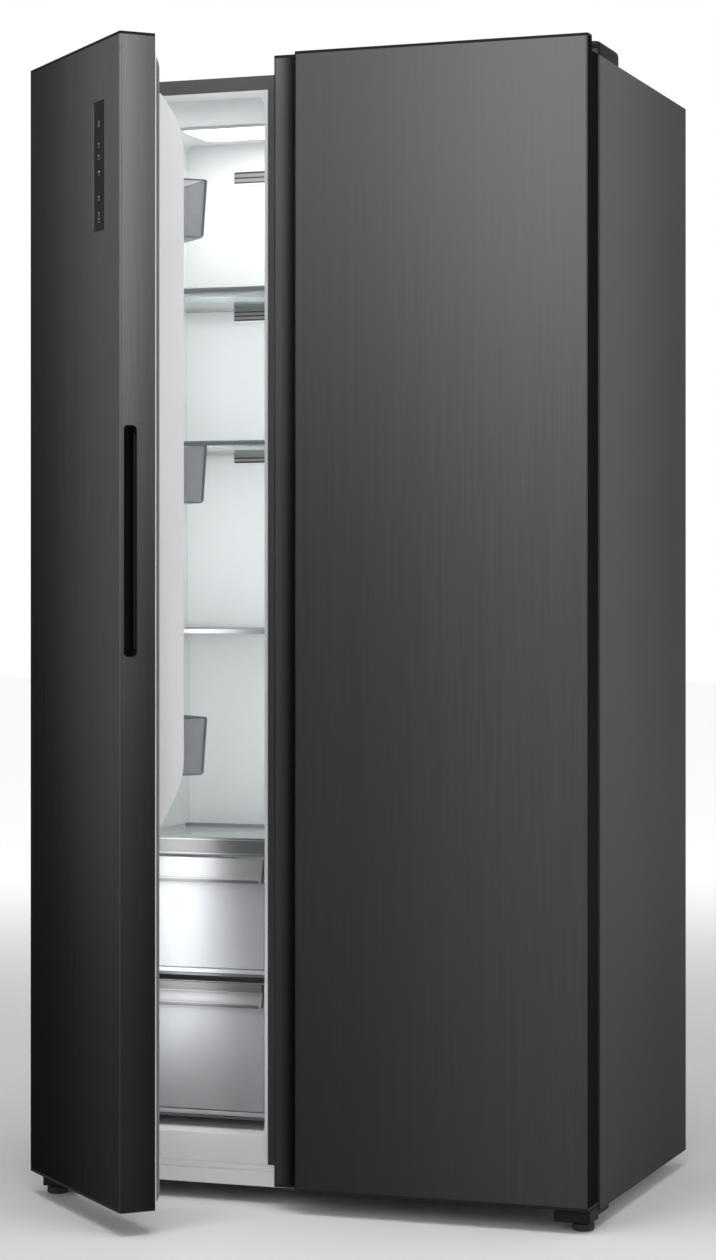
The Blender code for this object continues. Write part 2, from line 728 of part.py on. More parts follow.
def fridge_air_duct():
    """Column on the fridge's back wall that spreads the cold air."""
    centre = middle(FRIDGE_X)
    bm = bmesh.new()
    add_box(bm, (centre - DUCT_W / 2, centre + DUCT_W / 2), (DUCT_Y, LINER_BACK - GAP), DUCT_Z)
    duct = make("fridge_air_duct", bm, "white_plastic")
    inside = (centre - DUCT_W / 2 + LINER_T, centre + DUCT_W / 2 - LINER_T)
    cut_boxes(duct, (inside, (DUCT_Y + LINER_T, BACK), (DUCT_Z[0] + LINER_T, DUCT_Z[1] - LINER_T)))
    step = (DUCT_Z[1] - DUCT_Z[0]) / (DUCT_SLOTS + 1)
    across = (centre - DUCT_W / 3, centre + DUCT_W / 3)
    depth = (DUCT_Y - SHORT_OF, DUCT_Y + SHORT_OF)
    heights = [DUCT_Z[0] + step * (k + 1) for k in range(DUCT_SLOTS)]
    cut_boxes(duct, *[(across, depth, (z, z + VENT_H)) for z in heights])


def evaporator():
    """Finned coil behind the freezer's back cover, drawn as one comb of fins on a backing plate."""
    centre = middle(FREEZER_X)
    width = FREEZER_X[1] - FREEZER_X[0] - 2 * EVAPORATOR_SIDE
    front = BACK_COVER_LOW_Y + BACK_COVER_T + EVAPORATOR_GAP
    back = LINER_BACK - EVAPORATOR_GAP
    pitch = width / FIN_COUNT
    root = back - EVAPORATOR_PLATE
    outline = []
    for k in range(FIN_COUNT):
        x = centre - width / 2 + k * pitch
        outline += [(x, root), (x, front), (x + pitch / 3, front), (x + pitch / 3, root)]
    outline += [(centre + width / 2 - pitch * 2 / 3, back), (centre - width / 2, back)]
    bm = bmesh.new()
    add_prism(bm, outline, "Z", *EVAPORATOR_Z)
    make("evaporator", bm, "aluminium")


def evaporator_fan():
    """Blower on its spindle: a bored hub with pitched blades."""
    place = (middle(FREEZER_X), BACK_COVER_Y + FAN_STANDOFF, FAN_Z)
    bm = bmesh.new()
    add_cylinder(bm, (0.0, 0.0), FAN_HUB_R, "Y", -FAN_HUB_T / 2, FAN_HUB_T / 2, 20)
    fan = make("evaporator_fan", bm, "black_plastic", None, place)

    def blade(tool, turn):
        half_t = BLADE_T / 2
        half_w = BLADE_W / 2
        add_box(tool, (FAN_HUB_R * 0.75, FAN_R), (-half_t, half_t), (-half_w, half_w))
        pitch = Matrix.Rotation(math.radians(BLADE_PITCH), 4, "X")
        spin = Matrix.Rotation(turn, 4, "Y")
        bmesh.ops.transform(tool, matrix=spin @ pitch, verts=tool.verts)

    shape(fan, "UNION", blade, *[2 * math.pi * k / FAN_BLADES for k in range(FAN_BLADES)])
    bore = ((0.0, 0.0), FAN_BORE_R, "Y", -FAN_HUB_T, FAN_HUB_T, 16)
    shape(fan, "DIFFERENCE", lambda tool, at: add_cylinder(tool, *at), bore)


def lamp(name, inside):
    """Light lens under a compartment's ceiling."""
    centre = middle(inside)
    depth = (FRONT + LAMP_START, FRONT + LAMP_START + LAMP_L)
    bm = bmesh.new()
    height = (LINER_CEILING - LAMP_H, LINER_CEILING - GAP)
    add_box(bm, (centre - LAMP_W / 2, centre + LAMP_W / 2), depth, height)
    lens = make(name, bm, "lamp_lens")
    soften(lens, 0.003)


def shelf(name, inside, z, back):
    """Glass shelf with a thicker front edge."""
    across = (inside[0] + SHELF_SIDE_GAP, inside[1] - SHELF_SIDE_GAP)
    front = SHELF_FRONT
    lip = front + SHELF_LIP_D
    rim = z + SHELF_T + SHELF_LIP_RISE
    outline = [(front, z), (back, z), (back, z + SHELF_T), (lip, z + SHELF_T), (lip, rim), (front, rim)]
    bm = bmesh.new()
    add_prism(bm, outline, "X", *across)
    make(name, bm, "clear_glass")


def drawer_cover(name, inside, lip, back):
    """Glass plate over the drawers behind a deep front trim."""
    across = (inside[0] + SHELF_SIDE_GAP, inside[1] - SHELF_SIDE_GAP)
    low, high = cover_plate_z(lip)
    trim = COVER_FRONT + COVER_LIP_T
    outline = [
        (COVER_FRONT, lip[0]),
        (trim, lip[0]),
        (trim, low),
        (back, low),
        (back, high),
        (trim, high),
        (trim, lip[1]),
        (COVER_FRONT, lip[1]),
    ]
    bm = bmesh.new()
    add_prism(bm, outline, "X", *across)
    make(name, bm, "clear_glass")


def drawer(name, inside, z, back):
    """Open box hung from runners at its sides."""
    across = (inside[0] + DRAWER_SIDE_GAP, inside[1] - DRAWER_SIDE_GAP)
    bm = bmesh.new()
    add_tray(bm, across, (DRAWER_FRONT, back), z, DRAWER_WALL)
    box = make(name, bm, "drawer_plastic")
    low = z[1] - RUNNER_DROP
    reach = DRAWER_SIDE_GAP - RUNNER_CLEAR
    length = (DRAWER_FRONT + RUNNER_SETBACK, back - RUNNER_SETBACK)
    for wall, way in ((across[0], -1), (across[1], 1)):
        runner = (wall - way * DRAWER_WALL / 2, wall + way * reach)
        join_boxes(box, (runner, length, (low, low + RUNNER_T)))
    return box


def drawer_handle(name, inside, top):
    """Scooped silver pull across a drawer's front, with a ledge for the fingers."""
    edge = DRAWER_SIDE_GAP + HANDLE_LIP
    across = (inside[0] + edge, inside[1] - edge)
    face = DRAWER_FRONT - GAP
    tip = face - HANDLE_REACH
    foot_z = top - HANDLE_H
    steps = 6
    outline = [(face, top)]
    for k in range(steps + 1):
        angle = math.pi / 2 * k / steps
        y = face - HANDLE_RIM - (HANDLE_REACH - HANDLE_RIM) * (1 - math.cos(angle))
        outline.append((y, top - (HANDLE_H - 2 * HANDLE_RIM) * math.sin(angle)))
    outline += [(tip, foot_z), (tip + HANDLE_LIP, foot_z), (face, top - HANDLE_H * 0.55)]
    bm = bmesh.new()
    add_prism(bm, outline, "X", *across)
    make(name, bm, "silver_plastic")


def freezer_inside():
    back = BACK_COVER_Y - SHELF_BACK_GAP
    deep = STEP_BACK - DRAWER_BACK_GAP
    for index, z in enumerate(FREEZER_SHELVES):
        shelf(f"freezer_shelf_{index + 1}", FREEZER_X, z, back)
    drawer_cover("freezer_drawer_cover", FREEZER_X, COVER_LIP_Z, back)
    lamp("freezer_light", FREEZER_X)
    drawer("freezer_drawer_upper", FREEZER_X, UPPER_DRAWER_Z, back - SHELF_BACK_GAP * 2)
    drawer_handle("freezer_drawer_upper_handle", FREEZER_X, UPPER_DRAWER_Z[1])
    drawer("freezer_drawer_lower", FREEZER_X, LOWER_DRAWER_Z, deep)
    drawer_handle("freezer_drawer_lower_handle", FREEZER_X, LOWER_DRAWER_Z[1])


def fridge_inside():
    back = DUCT_Y - SHELF_BACK_GAP
    for index, z in enumerate(FRIDGE_SHELVES):
        shelf(f"fridge_shelf_{index + 1}", FRIDGE_X, z, back)
    drawer_cover("crisper_cover", FRIDGE_X, CRISPER_COVER_LIP_Z, LINER_BACK - SHELF_BACK_GAP * 2)
    lamp("fridge_light", FRIDGE_X)
    crisper = drawer("crisper_drawer", FRIDGE_X, CRISPER_Z, STEP_BACK - DRAWER_BACK_GAP)
    edge = DRAWER_SIDE_GAP + HANDLE_LIP
    reach, low, high = CRISPER_PULL
    across = (FRIDGE_X[0] + edge, FRIDGE_X[1] - edge)
    depth = (DRAWER_FRONT - reach, DRAWER_FRONT + DRAWER_WALL / 2)
    join_boxes(crisper, (across, depth, (CRISPER_Z[1] - low, CRISPER_Z[1] - high)))


# ---------------------------------------------------------------- compressor compartment


def compressor():
    """Sealed pot on its mounting plate with four grommets."""
    depth = middle((MACHINE_FRONT, BACK))
    bm = bmesh.new()
    add_cylinder(bm, (COMPRESSOR_X, depth), COMPRESSOR_R, "Z", *COMPRESSOR_Z, 32)
    pot = make("compressor", bm, "compressor_black")
    soften(pot, COMPRESSOR_R / 3, 4, 60)
    half_w, half_d = MOUNT_PLATE[0] / 2, MOUNT_PLATE[1] / 2
    across = (COMPRESSOR_X - half_w, COMPRESSOR_X + half_w)
    join_boxes(pot, (across, (depth - half_d, depth + half_d), MOUNT_PLATE_Z))
    grommet_z = (BASE_T + GAP, middle(MOUNT_PLATE_Z))
    grommets = []
    for x_way in (-1, 1):
        for y_way in (-1, 1):
            x = COMPRESSOR_X + x_way * (half_w - GROMMET_INSET)
            y = depth + y_way * (half_d - GROMMET_INSET)
            grommets.append(((x, y), GROMMET_R, "Z", *grommet_z, 12))
    shape(pot, "UNION", lambda tool, place: add_cylinder(tool, *place), *grommets)
    smooth(pot, 40)


def drip_tray():
    """Open tray beside the compressor that catches the defrost water."""
    end = COMPRESSOR_X - TRAY_FROM_COMPRESSOR
    depth = (MACHINE_FRONT + TRAY_FRONT_GAP, BACK - TRAY_BACK_GAP)
    bm = bmesh.new()
    add_tray(bm, (end - TRAY_L, end), depth, (BASE_T + GAP, TRAY_H), LINER_T)
    make("drip_tray", bm, "black_plastic")


def machine_cover():
    """Vented rear cover, bulged to keep the wall behind at a distance."""
    half = HALF_W - CASE_T - GAP - COVER_PLATE_EDGE
    low = BASE_T + GAP
    high = MACHINE_H - GAP
    outer = BACK - 2 * GAP
    inner = outer - COVER_PLATE_T
    crown = outer + COVER_BULGE
    bm = bmesh.new()
    add_box(bm, (-half, half), (inner, outer), (low, high))
    cover = make("machine_cover", bm, "black_plastic")
    bulge = half - COVER_BULGE_EDGE
    rise = (low + COVER_BULGE_EDGE, high - COVER_BULGE_EDGE)
    join_boxes(cover, ((-bulge, bulge), (middle((inner, outer)), crown), rise))
    wall = COVER_BULGE_WALL
    room = bulge - wall
    cut_boxes(cover, ((-room, room), (inner - BEYOND, crown - wall), (rise[0] + wall, rise[1] - wall)))
    start = COMPRESSOR_X - GRILLE_START
    grille_z = (low + GRILLE_EDGE, high - GRILLE_EDGE)
    slots = []
    for k in range(GRILLE_SLOTS):
        x = start + GRILLE_PITCH * k
        slots.append(((x, x + GRILLE_SLOT_W), (outer, outer + BEYOND), grille_z))
    cut_boxes(cover, *slots)
    hole = ((GLAND_X, GLAND_Z), GLAND_R + GAP, "Y", outer, outer + BEYOND, 20)
    shape(cover, "DIFFERENCE", lambda tool, place: add_cylinder(tool, *place), hole)


def cord_gland():
    """Bush in the rear cover where the mains lead comes in."""
    wall = BACK - 2 * GAP + COVER_BULGE
    head = wall + GLAND_HEAD
    profile = [
        (GLAND_BORE_R, head),
        (GLAND_R + GLAND_RIM, head),
        (GLAND_R + GLAND_RIM, wall + GAP),
        (GLAND_R, wall + GAP),
        (GLAND_R, wall - GLAND_NECK),
        (GLAND_BORE_R, wall - GLAND_NECK),
    ]
    steps = 20
    bm = bmesh.new()
    rings = []
    for k in range(steps):
        angle = 2 * math.pi * k / steps
        rings.append([bm.verts.new((r * math.cos(angle), y, r * math.sin(angle))) for r, y in profile])
    for ring, after in zip(rings, [*rings[1:], rings[0]]):
        for k in range(len(profile)):
            n = (k + 1) % len(profile)
            bm.faces.new((ring[k], ring[n], after[n], after[k]))
    bmesh.ops.recalc_face_normals(bm, faces=bm.faces)
    smooth(make("cord_gland", bm, "black_plastic", None, (GLAND_X, 0.0, GLAND_Z)))


# ---------------------------------------------------------------- hinges, feet and rollers


def side_name(side):
    return "freezer" if side == LEFT else "fridge"


def top_hinge(side):
    """Plate on the cabinet's top with an arm over the door and a pin down into it."""
    low = CABINET_H + GAP
    high = low + TOP_ARM_T
    outer = side * (HALF_W - TOP_PLATE_X[0])
    inner = side * (HALF_W - TOP_PLATE_X[1])
    clear = 3 * COVER_WALL
    bm = bmesh.new()
    add_box(bm, (outer, inner), (COVER_Y[0] + clear, COVER_Y[1] - clear), (low, high))
    hinge = make(f"{side_name(side)}_top_hinge", bm, "galvanised")
    x = side * HINGE_X
    arm = ((x - TOP_ARM_W / 2, x + TOP_ARM_W / 2), (HINGE_Y, middle(COVER_Y)), (low, high))
    join_boxes(hinge, arm)
    tip = ((x, HINGE_Y), TOP_ARM_W / 2, "Z", low, high, 20)
    pin = ((x, HINGE_Y), PIN_R, "Z", CABINET_H - PIN_DOWN, low + TOP_ARM_T / 2, 20)
    shape(hinge, "UNION", lambda tool, place: add_cylinder(tool, *place), tip, pin)


def hinge_cover(side):
    """Moulded lid over a top hinge, open below and towards the door."""
    outer = side * (HALF_W - COVER_X[0])
    inner = side * (HALF_W - COVER_X[1])
    low = CABINET_H + GAP
    high = CABINET_H + COVER_H
    bm = bmesh.new()
    add_box(bm, (outer, inner), COVER_Y, (low, high))
    cover = make(f"{side_name(side)}_hinge_cover", bm, "black_plastic")
    soften(cover, 0.003)
    wall = COVER_WALL
    room_x = (outer - side * wall, inner + side * wall)
    under = CABINET_H - BEYOND
    cut_boxes(cover, (room_x, (COVER_Y[0] + wall, COVER_Y[1] - wall), (under, high - wall)))
    x = side * HINGE_X
    mouth = TOP_ARM_W / 2 + NOTCH_CLEAR
    depth = (COVER_Y[0] - BEYOND, COVER_Y[0] + SHORT_OF)
    cut_boxes(cover, ((x - mouth, x + mouth), depth, (under, low + TOP_ARM_T + COVER_WALL)))


def bottom_hinge(side):
    """Bracket under the cabinet's front corner: door pin above, foot thread below."""
    across = (side * (HALF_W - BRACKET_X[0]), side * (HALF_W - BRACKET_X[1]))
    bm = bmesh.new()
    add_box(bm, across, (BRACKET_STEP_Y, BRACKET_Y[1]), (-GAP - BRACKET_T, -GAP))
    hinge = make(f"{side_name(side)}_bottom_hinge", bm, "black_plastic")
    top = DOOR_BOTTOM - BRACKET_CLEAR
    depth = (BRACKET_Y[0], BRACKET_STEP_Y + BRACKET_STEP / 2)
    join_boxes(hinge, (across, depth, (-BRACKET_DROP, top)))
    x = side * HINGE_X
    pin = ((x, HINGE_Y), PIN_R, "Z", 0.0, DOOR_BOTTOM + PIN_UP, 20)
    shape(hinge, "UNION", lambda tool, place: add_cylinder(tool, *place), pin)
    thread = ((x, HINGE_Y), STUD_R + PIN_GAP, "Z", -BEYOND, -STUD_CLEAR, 16)
    shape(hinge, "DIFFERENCE", lambda tool, place: add_cylinder(tool, *place), thread)


def foot(side):
    """Levelling foot: a ribbed disc on a stud that turns in the bottom hinge."""
    bm = bmesh.new()
    top = -FLOOR_DROP + FOOT_H
    steps = FOOT_LOBES * 4
    outline = []
    for k in range(steps):
        radius = FOOT_R - (FOOT_GROOVE if k % 4 == 0 else 0.0)
        angle = 2 * math.pi * k / steps
        outline.append((radius * math.cos(angle), radius * math.sin(angle)))
    add_prism(bm, outline, "Z", -FLOOR_DROP, top)
    name = f"{side_name(side)}_foot"
    disc = make(name, bm, "black_plastic", None, (side * HINGE_X, HINGE_Y, 0.0))
    stud = ((0.0, 0.0), STUD_R, "Z", top - FOOT_H / 6, -2 * STUD_CLEAR, 16)
    shape(disc, "UNION", lambda tool, place: add_cylinder(tool, *place), stud)


def rear_rollers():
    """Both rear rollers on one axle."""
    bm = bmesh.new()
    reach = ROLLER_X + ROLLER_W / 2
    end = reach + AXLE_R / 2
    add_cylinder(bm, (0.0, 0.0), AXLE_R, "X", -end, end, 16)
    place = (0.0, ROLLER_Y, ROLLER_R - FLOOR_DROP)
    rollers = make("rear_rollers", bm, "black_plastic", None, place)
    wheels = []
    for side in (LEFT, RIGHT):
        centre = side * ROLLER_X
        wheels.append(((0.0, 0.0), ROLLER_R, "X", centre - ROLLER_W / 2, centre + ROLLER_W / 2, 32))
    shape(rollers, "UNION", lambda tool, place: add_cylinder(tool, *place), *wheels)
    smooth(rollers)


# ---------------------------------------------------------------- doors


class Door:
    """One door's sizes and the way its own coordinates turn into those of its axis."""

    def __init__(self, side, width, panel, handle_v):
        self.side = side
        self.name = side_name(side)
        self.width = width
        self.panel = panel
        self.handle_v = handle_v
        turn = -math.radians(FREEZER_REST_OPEN) if side == LEFT else 0.0
        self.axis = empty(f"{self.name}_door_axis", (side * HINGE_X, HINGE_Y, 0.0), turn)
        inside = FREEZER_X if side == LEFT else FRIDGE_X
        self.opening = HINGE_X + (inside[1] if side == LEFT else -inside[0])

    def u(self, value):
        return self.side * (HINGE_IN - value)

    def v(self, value):
        return value - HINGE_BACK

    def us(self, *values):
        return tuple(self.u(value) for value in values)

    def vs(self, *values):
        return tuple(self.v(value) for value in values)

    def outline(self, points):
        return [(self.u(a), self.v(b)) for a, b in points]

    def box(self, u, v, z):
        return (self.us(*u), self.vs(*v), z)

    def skin_path(self, inset=0.0, back=SKIN_BACK):
        """Front face and both sides, with the finger channel's step where the door has one."""
        path = [(inset, back), (inset, inset), (self.panel - inset, inset)]
        if self.panel < self.width:
            channel = CHANNEL_DEPTH + inset
            path += [(self.panel - inset, channel), (self.width - inset, channel)]
        path.append((self.width - inset, back))
        return path

    def swing_limit(self, v):
        """Furthest u from the hinge edge at which a point at v swings clear of the compartment's mouth."""
        reach = self.opening - SWING_CLEAR
        rise = DOOR_T + DOOR_GAP - HINGE_BACK
        radius_sq = reach**2 + rise**2
        return HINGE_IN + math.sqrt(radius_sq - (v - HINGE_BACK) ** 2)


def pocket_room(door, grow):
    """Box of a handle pocket, grown all round, that opens through the door's side."""
    v0, v1 = door.handle_v
    depth = (door.panel - HANDLE_DEPTH - grow, door.panel + SHORT_OF)
    return door.box(depth, (v0 - grow, v1 + grow), (HANDLE_BOTTOM - grow, HANDLE_TOP + grow))


def hinge_notch(door):
    """Box of the notch that lets the hinge arm into the door's top."""
    return door.box((-SHORT_OF, NOTCH_U), (NOTCH_V, DOOR_T + SHORT_OF), (NOTCH_FLOOR, DOOR_TOP + SHORT_OF))


def panel_room(door):
    """Box of the control panel's window, through the front and just behind it."""
    across = (PANEL_U[0] - GAP, PANEL_U[1] + GAP)
    return door.box(across, (-SHORT_OF, PANEL_T + GAP), (PANEL_Z[0] - GAP, PANEL_Z[1] + GAP))


def door_skin(door):
    """Folded steel front and sides, cut for the handle pocket, the hinge arm and the control panel."""
    outline = sheet(rounded(door.skin_path(), DOOR_CORNER_R), DOOR_SKIN_T)
    bm = bmesh.new()
    height = (DOOR_BOTTOM + CAP_T + GAP, DOOR_TOP - CAP_T - GAP)
    add_prism(bm, door.outline(outline), "Z", *height)
    skin = make(f"{door.name}_door_skin", bm, "dark_steel", door.axis)
    cut_boxes(skin, pocket_room(door, HANDLE_WALL + GAP), hinge_notch(door))
    if door.side == LEFT:
        cut_boxes(skin, panel_room(door))
    smooth(skin)


def handle_cup(door):
    """Black pocket let into the door's free side."""
    v0, v1 = door.handle_v
    wall = HANDLE_WALL
    bm = bmesh.new()
    outer_z = (HANDLE_BOTTOM - wall, HANDLE_TOP + wall)
    mouth = door.panel - GAP / 3
    place = door.box((mouth - HANDLE_DEPTH, mouth), (v0 - wall, v1 + wall), outer_z)
    add_box(bm, *place)
    cup = make(f"{door.name}_handle", bm, "black_plastic", door.axis)
    room = (mouth - HANDLE_DEPTH + wall, door.panel + SHORT_OF)
    cut_boxes(cup, door.box(room, (v0, v1), (HANDLE_BOTTOM, HANDLE_TOP)))


def seal_channel(door, grow):
    """Ring of the channel that holds the seal, on the foam's side of the door's liner."""
    edge = SEAL_CHANNEL_IN - grow
    reach = SEAL_CHANNEL_IN + SEAL_CHANNEL_W + grow
    outer_u = (GASKET_EDGE + edge, door.width - GASKET_FREE_EDGE - edge)
    inner_u = (GASKET_EDGE + reach, door.width - GASKET_FREE_EDGE - reach)
    low = DOOR_BOTTOM + GASKET_END
    high = NOTCH_FLOOR - GASKET_END
    heights = ((low + edge, high - edge), (low + reach, high - reach))
    front = DOOR_T - DOOR_LINER_T - SEAL_CHANNEL_D - grow
    return (door.us(*outer_u), door.us(*inner_u), heights, door.vs(front, DOOR_T - DOOR_LINER_T / 2))


def ring_place(bm, place):
    add_ring(bm, *place)


def door_foam(door):
    """Foam between the skin, the caps and the door's liner."""
    inset = DOOR_SKIN_T + GAP
    low = DOOR_BOTTOM + CAP_T + CAP_PLUG + GAP
    high = DOOR_TOP - CAP_T - CAP_PLUG - GAP
    outline = rounded(door.skin_path(inset), DOOR_CORNER_R - inset, 2)
    bm = bmesh.new()
    add_prism(bm, door.outline(outline), "Z", low, high)
    foam = make(f"{door.name}_door_foam", bm, "foam", door.axis)
    cut_boxes(foam, pocket_room(door, HANDLE_WALL + GAP))
    bosses = ((-SHORT_OF, BOSS_W + GAP), (-SHORT_OF, DOOR_T + SHORT_OF))
    cut_boxes(foam, door.box(*bosses, (high - BOSS_H, DOOR_TOP)))
    cut_boxes(foam, door.box(*bosses, (0.0, low + BOSS_H)))
    shape(foam, "DIFFERENCE", ring_place, seal_channel(door, GAP))
    if door.side == LEFT:
        cut_boxes(foam, panel_room(door))


def door_cap(door, top):
    """End cap: a plate over the skin's end, a plug inside it and a boss round the hinge pin."""
    end = DOOR_TOP if top else DOOR_BOTTOM
    way = -1 if top else 1
    outline = door.outline(rounded(door.skin_path(), DOOR_CORNER_R))
    bm = bmesh.new()
    add_prism(bm, outline, "Z", end, end + way * CAP_T)
    cap = make(f"{door.name}_door_{'top' if top else 'bottom'}_cap", bm, "black_plastic", door.axis)
    inset = DOOR_SKIN_T + GAP
    plug_path = door.skin_path(inset, SKIN_BACK - GAP)
    plug = door.outline(rounded(plug_path, DOOR_CORNER_R - inset))
    plug_end = end + way * (CAP_T + CAP_PLUG)
    plug_z = (end + way * CAP_T / 2, plug_end)
    shape(cap, "UNION", lambda tool, z: add_prism(tool, plug, "Z", *z), plug_z)
    edge = inset + 2 * GAP
    boss_z = (plug_end - way * CAP_PLUG / 5, plug_end + way * (BOSS_H - 2 * GAP))
    join_boxes(cap, door.box((edge, BOSS_W), (edge, SKIN_BACK - 3 * GAP), boss_z))
    shape(cap, "DIFFERENCE", ring_place, seal_channel(door, GAP))
    centre = (door.u(HINGE_IN), door.v(HINGE_BACK))
    if top:
        cut_boxes(cap, hinge_notch(door))
        hole = (centre, PIN_R + PIN_GAP, "Z", CABINET_H - PIN_DOWN - PIN_CLEAR, DOOR_TOP, 20)
    else:
        hole = (centre, PIN_R + PIN_GAP, "Z", 0.0, DOOR_BOTTOM + PIN_UP + PIN_CLEAR, 20)
    shape(cap, "DIFFERENCE", lambda tool, place: add_cylinder(tool, *place), hole)


def dyke_edges(door):
    """u of the outer faces of the ridges that hold the bins."""
    return (DYKE_EDGE, door.swing_limit(DOOR_T + DYKE_H))


def bin_edges(door):
    near, far = dyke_edges(door)
    return (near + DYKE_W + BIN_GAP, far - DYKE_W - BIN_GAP)


def door_liner(door):
    """White inner panel with two ridges that carry the bins."""
    edge = DOOR_LINER_EDGE
    back = DOOR_T
    height = (DOOR_BOTTOM + LINER_T, NOTCH_FLOOR - LINER_T)
    bm = bmesh.new()
    add_box(bm, *door.box((edge, door.width - edge), (DOOR_T - DOOR_LINER_T, back), height))
    panel = make(f"{door.name}_door_liner", bm, "white_plastic", door.axis)
    crest = back + DYKE_H
    root = back - DOOR_LINER_T / 2
    profile = [
        (door.v(root), DYKE_BOTTOM),
        (door.v(back + DYKE_SHOULDER), DYKE_BOTTOM),
        (door.v(crest), DYKE_BOTTOM + DYKE_SLANT_BOTTOM),
        (door.v(crest), DYKE_TOP - DYKE_SLANT_TOP),
        (door.v(back + DYKE_SHOULDER), DYKE_TOP),
        (door.v(root), DYKE_TOP),
    ]
    near, far = dyke_edges(door)
    ridges = [door.us(near, near + DYKE_W), door.us(far - DYKE_W, far)]
    shape(panel, "UNION", lambda tool, x: add_prism(tool, profile, "X", *x), *ridges)
    bin_near, bin_far = bin_edges(door)
    ledge_h, ledge_d = BIN_LEDGE
    depth = (root, back + ledge_d)
    ledges = []
    for floor in BIN_FLOORS:
        z = (floor - GAP - ledge_h, floor - GAP)
        ledges.append(door.box((near + DYKE_W / 2, bin_near + BIN_WALL), depth, z))
        ledges.append(door.box((bin_far - BIN_WALL, far - DYKE_W / 2), depth, z))
    join_boxes(panel, *ledges)
    shape(panel, "UNION", ring_place, seal_channel(door, 0.0))


def door_gasket(door):
    """Magnetic seal round the door's back."""
    start = DOOR_T + GAP
    end = DOOR_T + DOOR_GAP - GASKET_CLEAR
    outer_u = (GASKET_EDGE, door.width - GASKET_FREE_EDGE)
    inner_u = (outer_u[0] + GASKET_W, outer_u[1] - GASKET_W)
    outer_z = (DOOR_BOTTOM + GASKET_END, NOTCH_FLOOR - GASKET_END)
    inner_z = (outer_z[0] + GASKET_W, outer_z[1] - GASKET_W)
    bm = bmesh.new()
    add_ring(bm, door.us(*outer_u), door.us(*inner_u), (outer_z, inner_z), door.vs(start, end))
    make(f"{door.name}_door_gasket", bm, "gasket_grey", door.axis)


def door_bins(door):
    """Clear bins between the ridges."""
    depth = (DOOR_T + GAP, BIN_FRONT)
    for index, floor in enumerate(BIN_FLOORS):
        bm = bmesh.new()
        add_tray(bm, *door.box(bin_edges(door), depth, (floor, floor + BIN_H)), BIN_WALL)
        make(f"{door.name}_bin_{index + 1}", bm, "clear_plastic", door.axis)


def control_panel(door):
    """Flush touch panel in the door's front."""
    bm = bmesh.new()
    add_box(bm, *door.box(PANEL_U, (0.0, PANEL_T), PANEL_Z))
    make("control_panel", bm, "panel_glass", door.axis)


def doors():
    freezer = Door(LEFT, FREEZER_DOOR_W, FREEZER_DOOR_W, FREEZER_HANDLE_V)
    fridge = Door(RIGHT, FRIDGE_DOOR_W, FRIDGE_PANEL_W, FRIDGE_HANDLE_V)
    for door in (freezer, fridge):
        door_skin(door)
        door_foam(door)
        handle_cup(door)
        door_cap(door, True)
        door_cap(door, False)
        door_liner(door)
        door_gasket(door)
        door_bins(door)
    control_panel(freezer)


def clear_scene():
    for obj in list(bpy.data.objects):
        bpy.data.objects.remove(obj, do_unlink=True)


def main():
    clear_scene()
    outer_case()
    back_panel()
    base_plate()
    insulation_foam()
    freezer_liner()
    fridge_liner()
    center_rail()
    lower_front_panel()
    freezer_back_cover()
    fridge_air_duct()
    evaporator()
    evaporator_fan()
    freezer_inside()
    fridge_inside()
    compressor()
    drip_tray()
    machine_cover()
    cord_gland()
    for side in (LEFT, RIGHT):
        top_hinge(side)
        hinge_cover(side)
        bottom_hinge(side)
        foot(side)
    rear_rollers()
    doors()


main()
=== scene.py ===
"""The finished look of a side by side refrigerator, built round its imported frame.

Laid out as an add-on and run as a script. Metres, +Z up, in the frame's own coordinates. The pieces of a door
are drawn with the door shut and then turned to the angle that it stands at.
"""

import json
import math

import bmesh
import bpy
from bpy.props import FloatProperty, FloatVectorProperty, PointerProperty
from mathutils import Matrix, Vector


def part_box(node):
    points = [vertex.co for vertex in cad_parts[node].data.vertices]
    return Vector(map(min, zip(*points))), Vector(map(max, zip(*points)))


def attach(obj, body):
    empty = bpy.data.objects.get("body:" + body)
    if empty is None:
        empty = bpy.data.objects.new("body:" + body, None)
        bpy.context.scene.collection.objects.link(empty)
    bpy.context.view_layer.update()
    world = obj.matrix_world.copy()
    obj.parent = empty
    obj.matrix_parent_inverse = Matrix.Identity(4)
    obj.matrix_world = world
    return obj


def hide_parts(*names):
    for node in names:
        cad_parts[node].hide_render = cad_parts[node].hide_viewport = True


bl_info = {
    "name": "Side by side refrigerator",
    "version": (1, 0, 0),
    "blender": (4, 5, 0),
    "location": "3D View > Sidebar > Refrigerator",
    "description": "Builds the finishes and the fine pieces of a side by side refrigerator",
    "category": "Object",
}

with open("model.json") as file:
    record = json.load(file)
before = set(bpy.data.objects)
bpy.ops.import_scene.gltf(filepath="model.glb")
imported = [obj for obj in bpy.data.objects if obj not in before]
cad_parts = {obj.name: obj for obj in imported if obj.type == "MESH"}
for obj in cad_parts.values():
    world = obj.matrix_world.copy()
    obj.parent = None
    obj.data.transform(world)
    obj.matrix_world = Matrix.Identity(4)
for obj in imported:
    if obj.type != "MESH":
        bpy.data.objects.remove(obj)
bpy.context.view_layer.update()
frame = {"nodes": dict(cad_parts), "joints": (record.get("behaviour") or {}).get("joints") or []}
NODES = frame["nodes"]

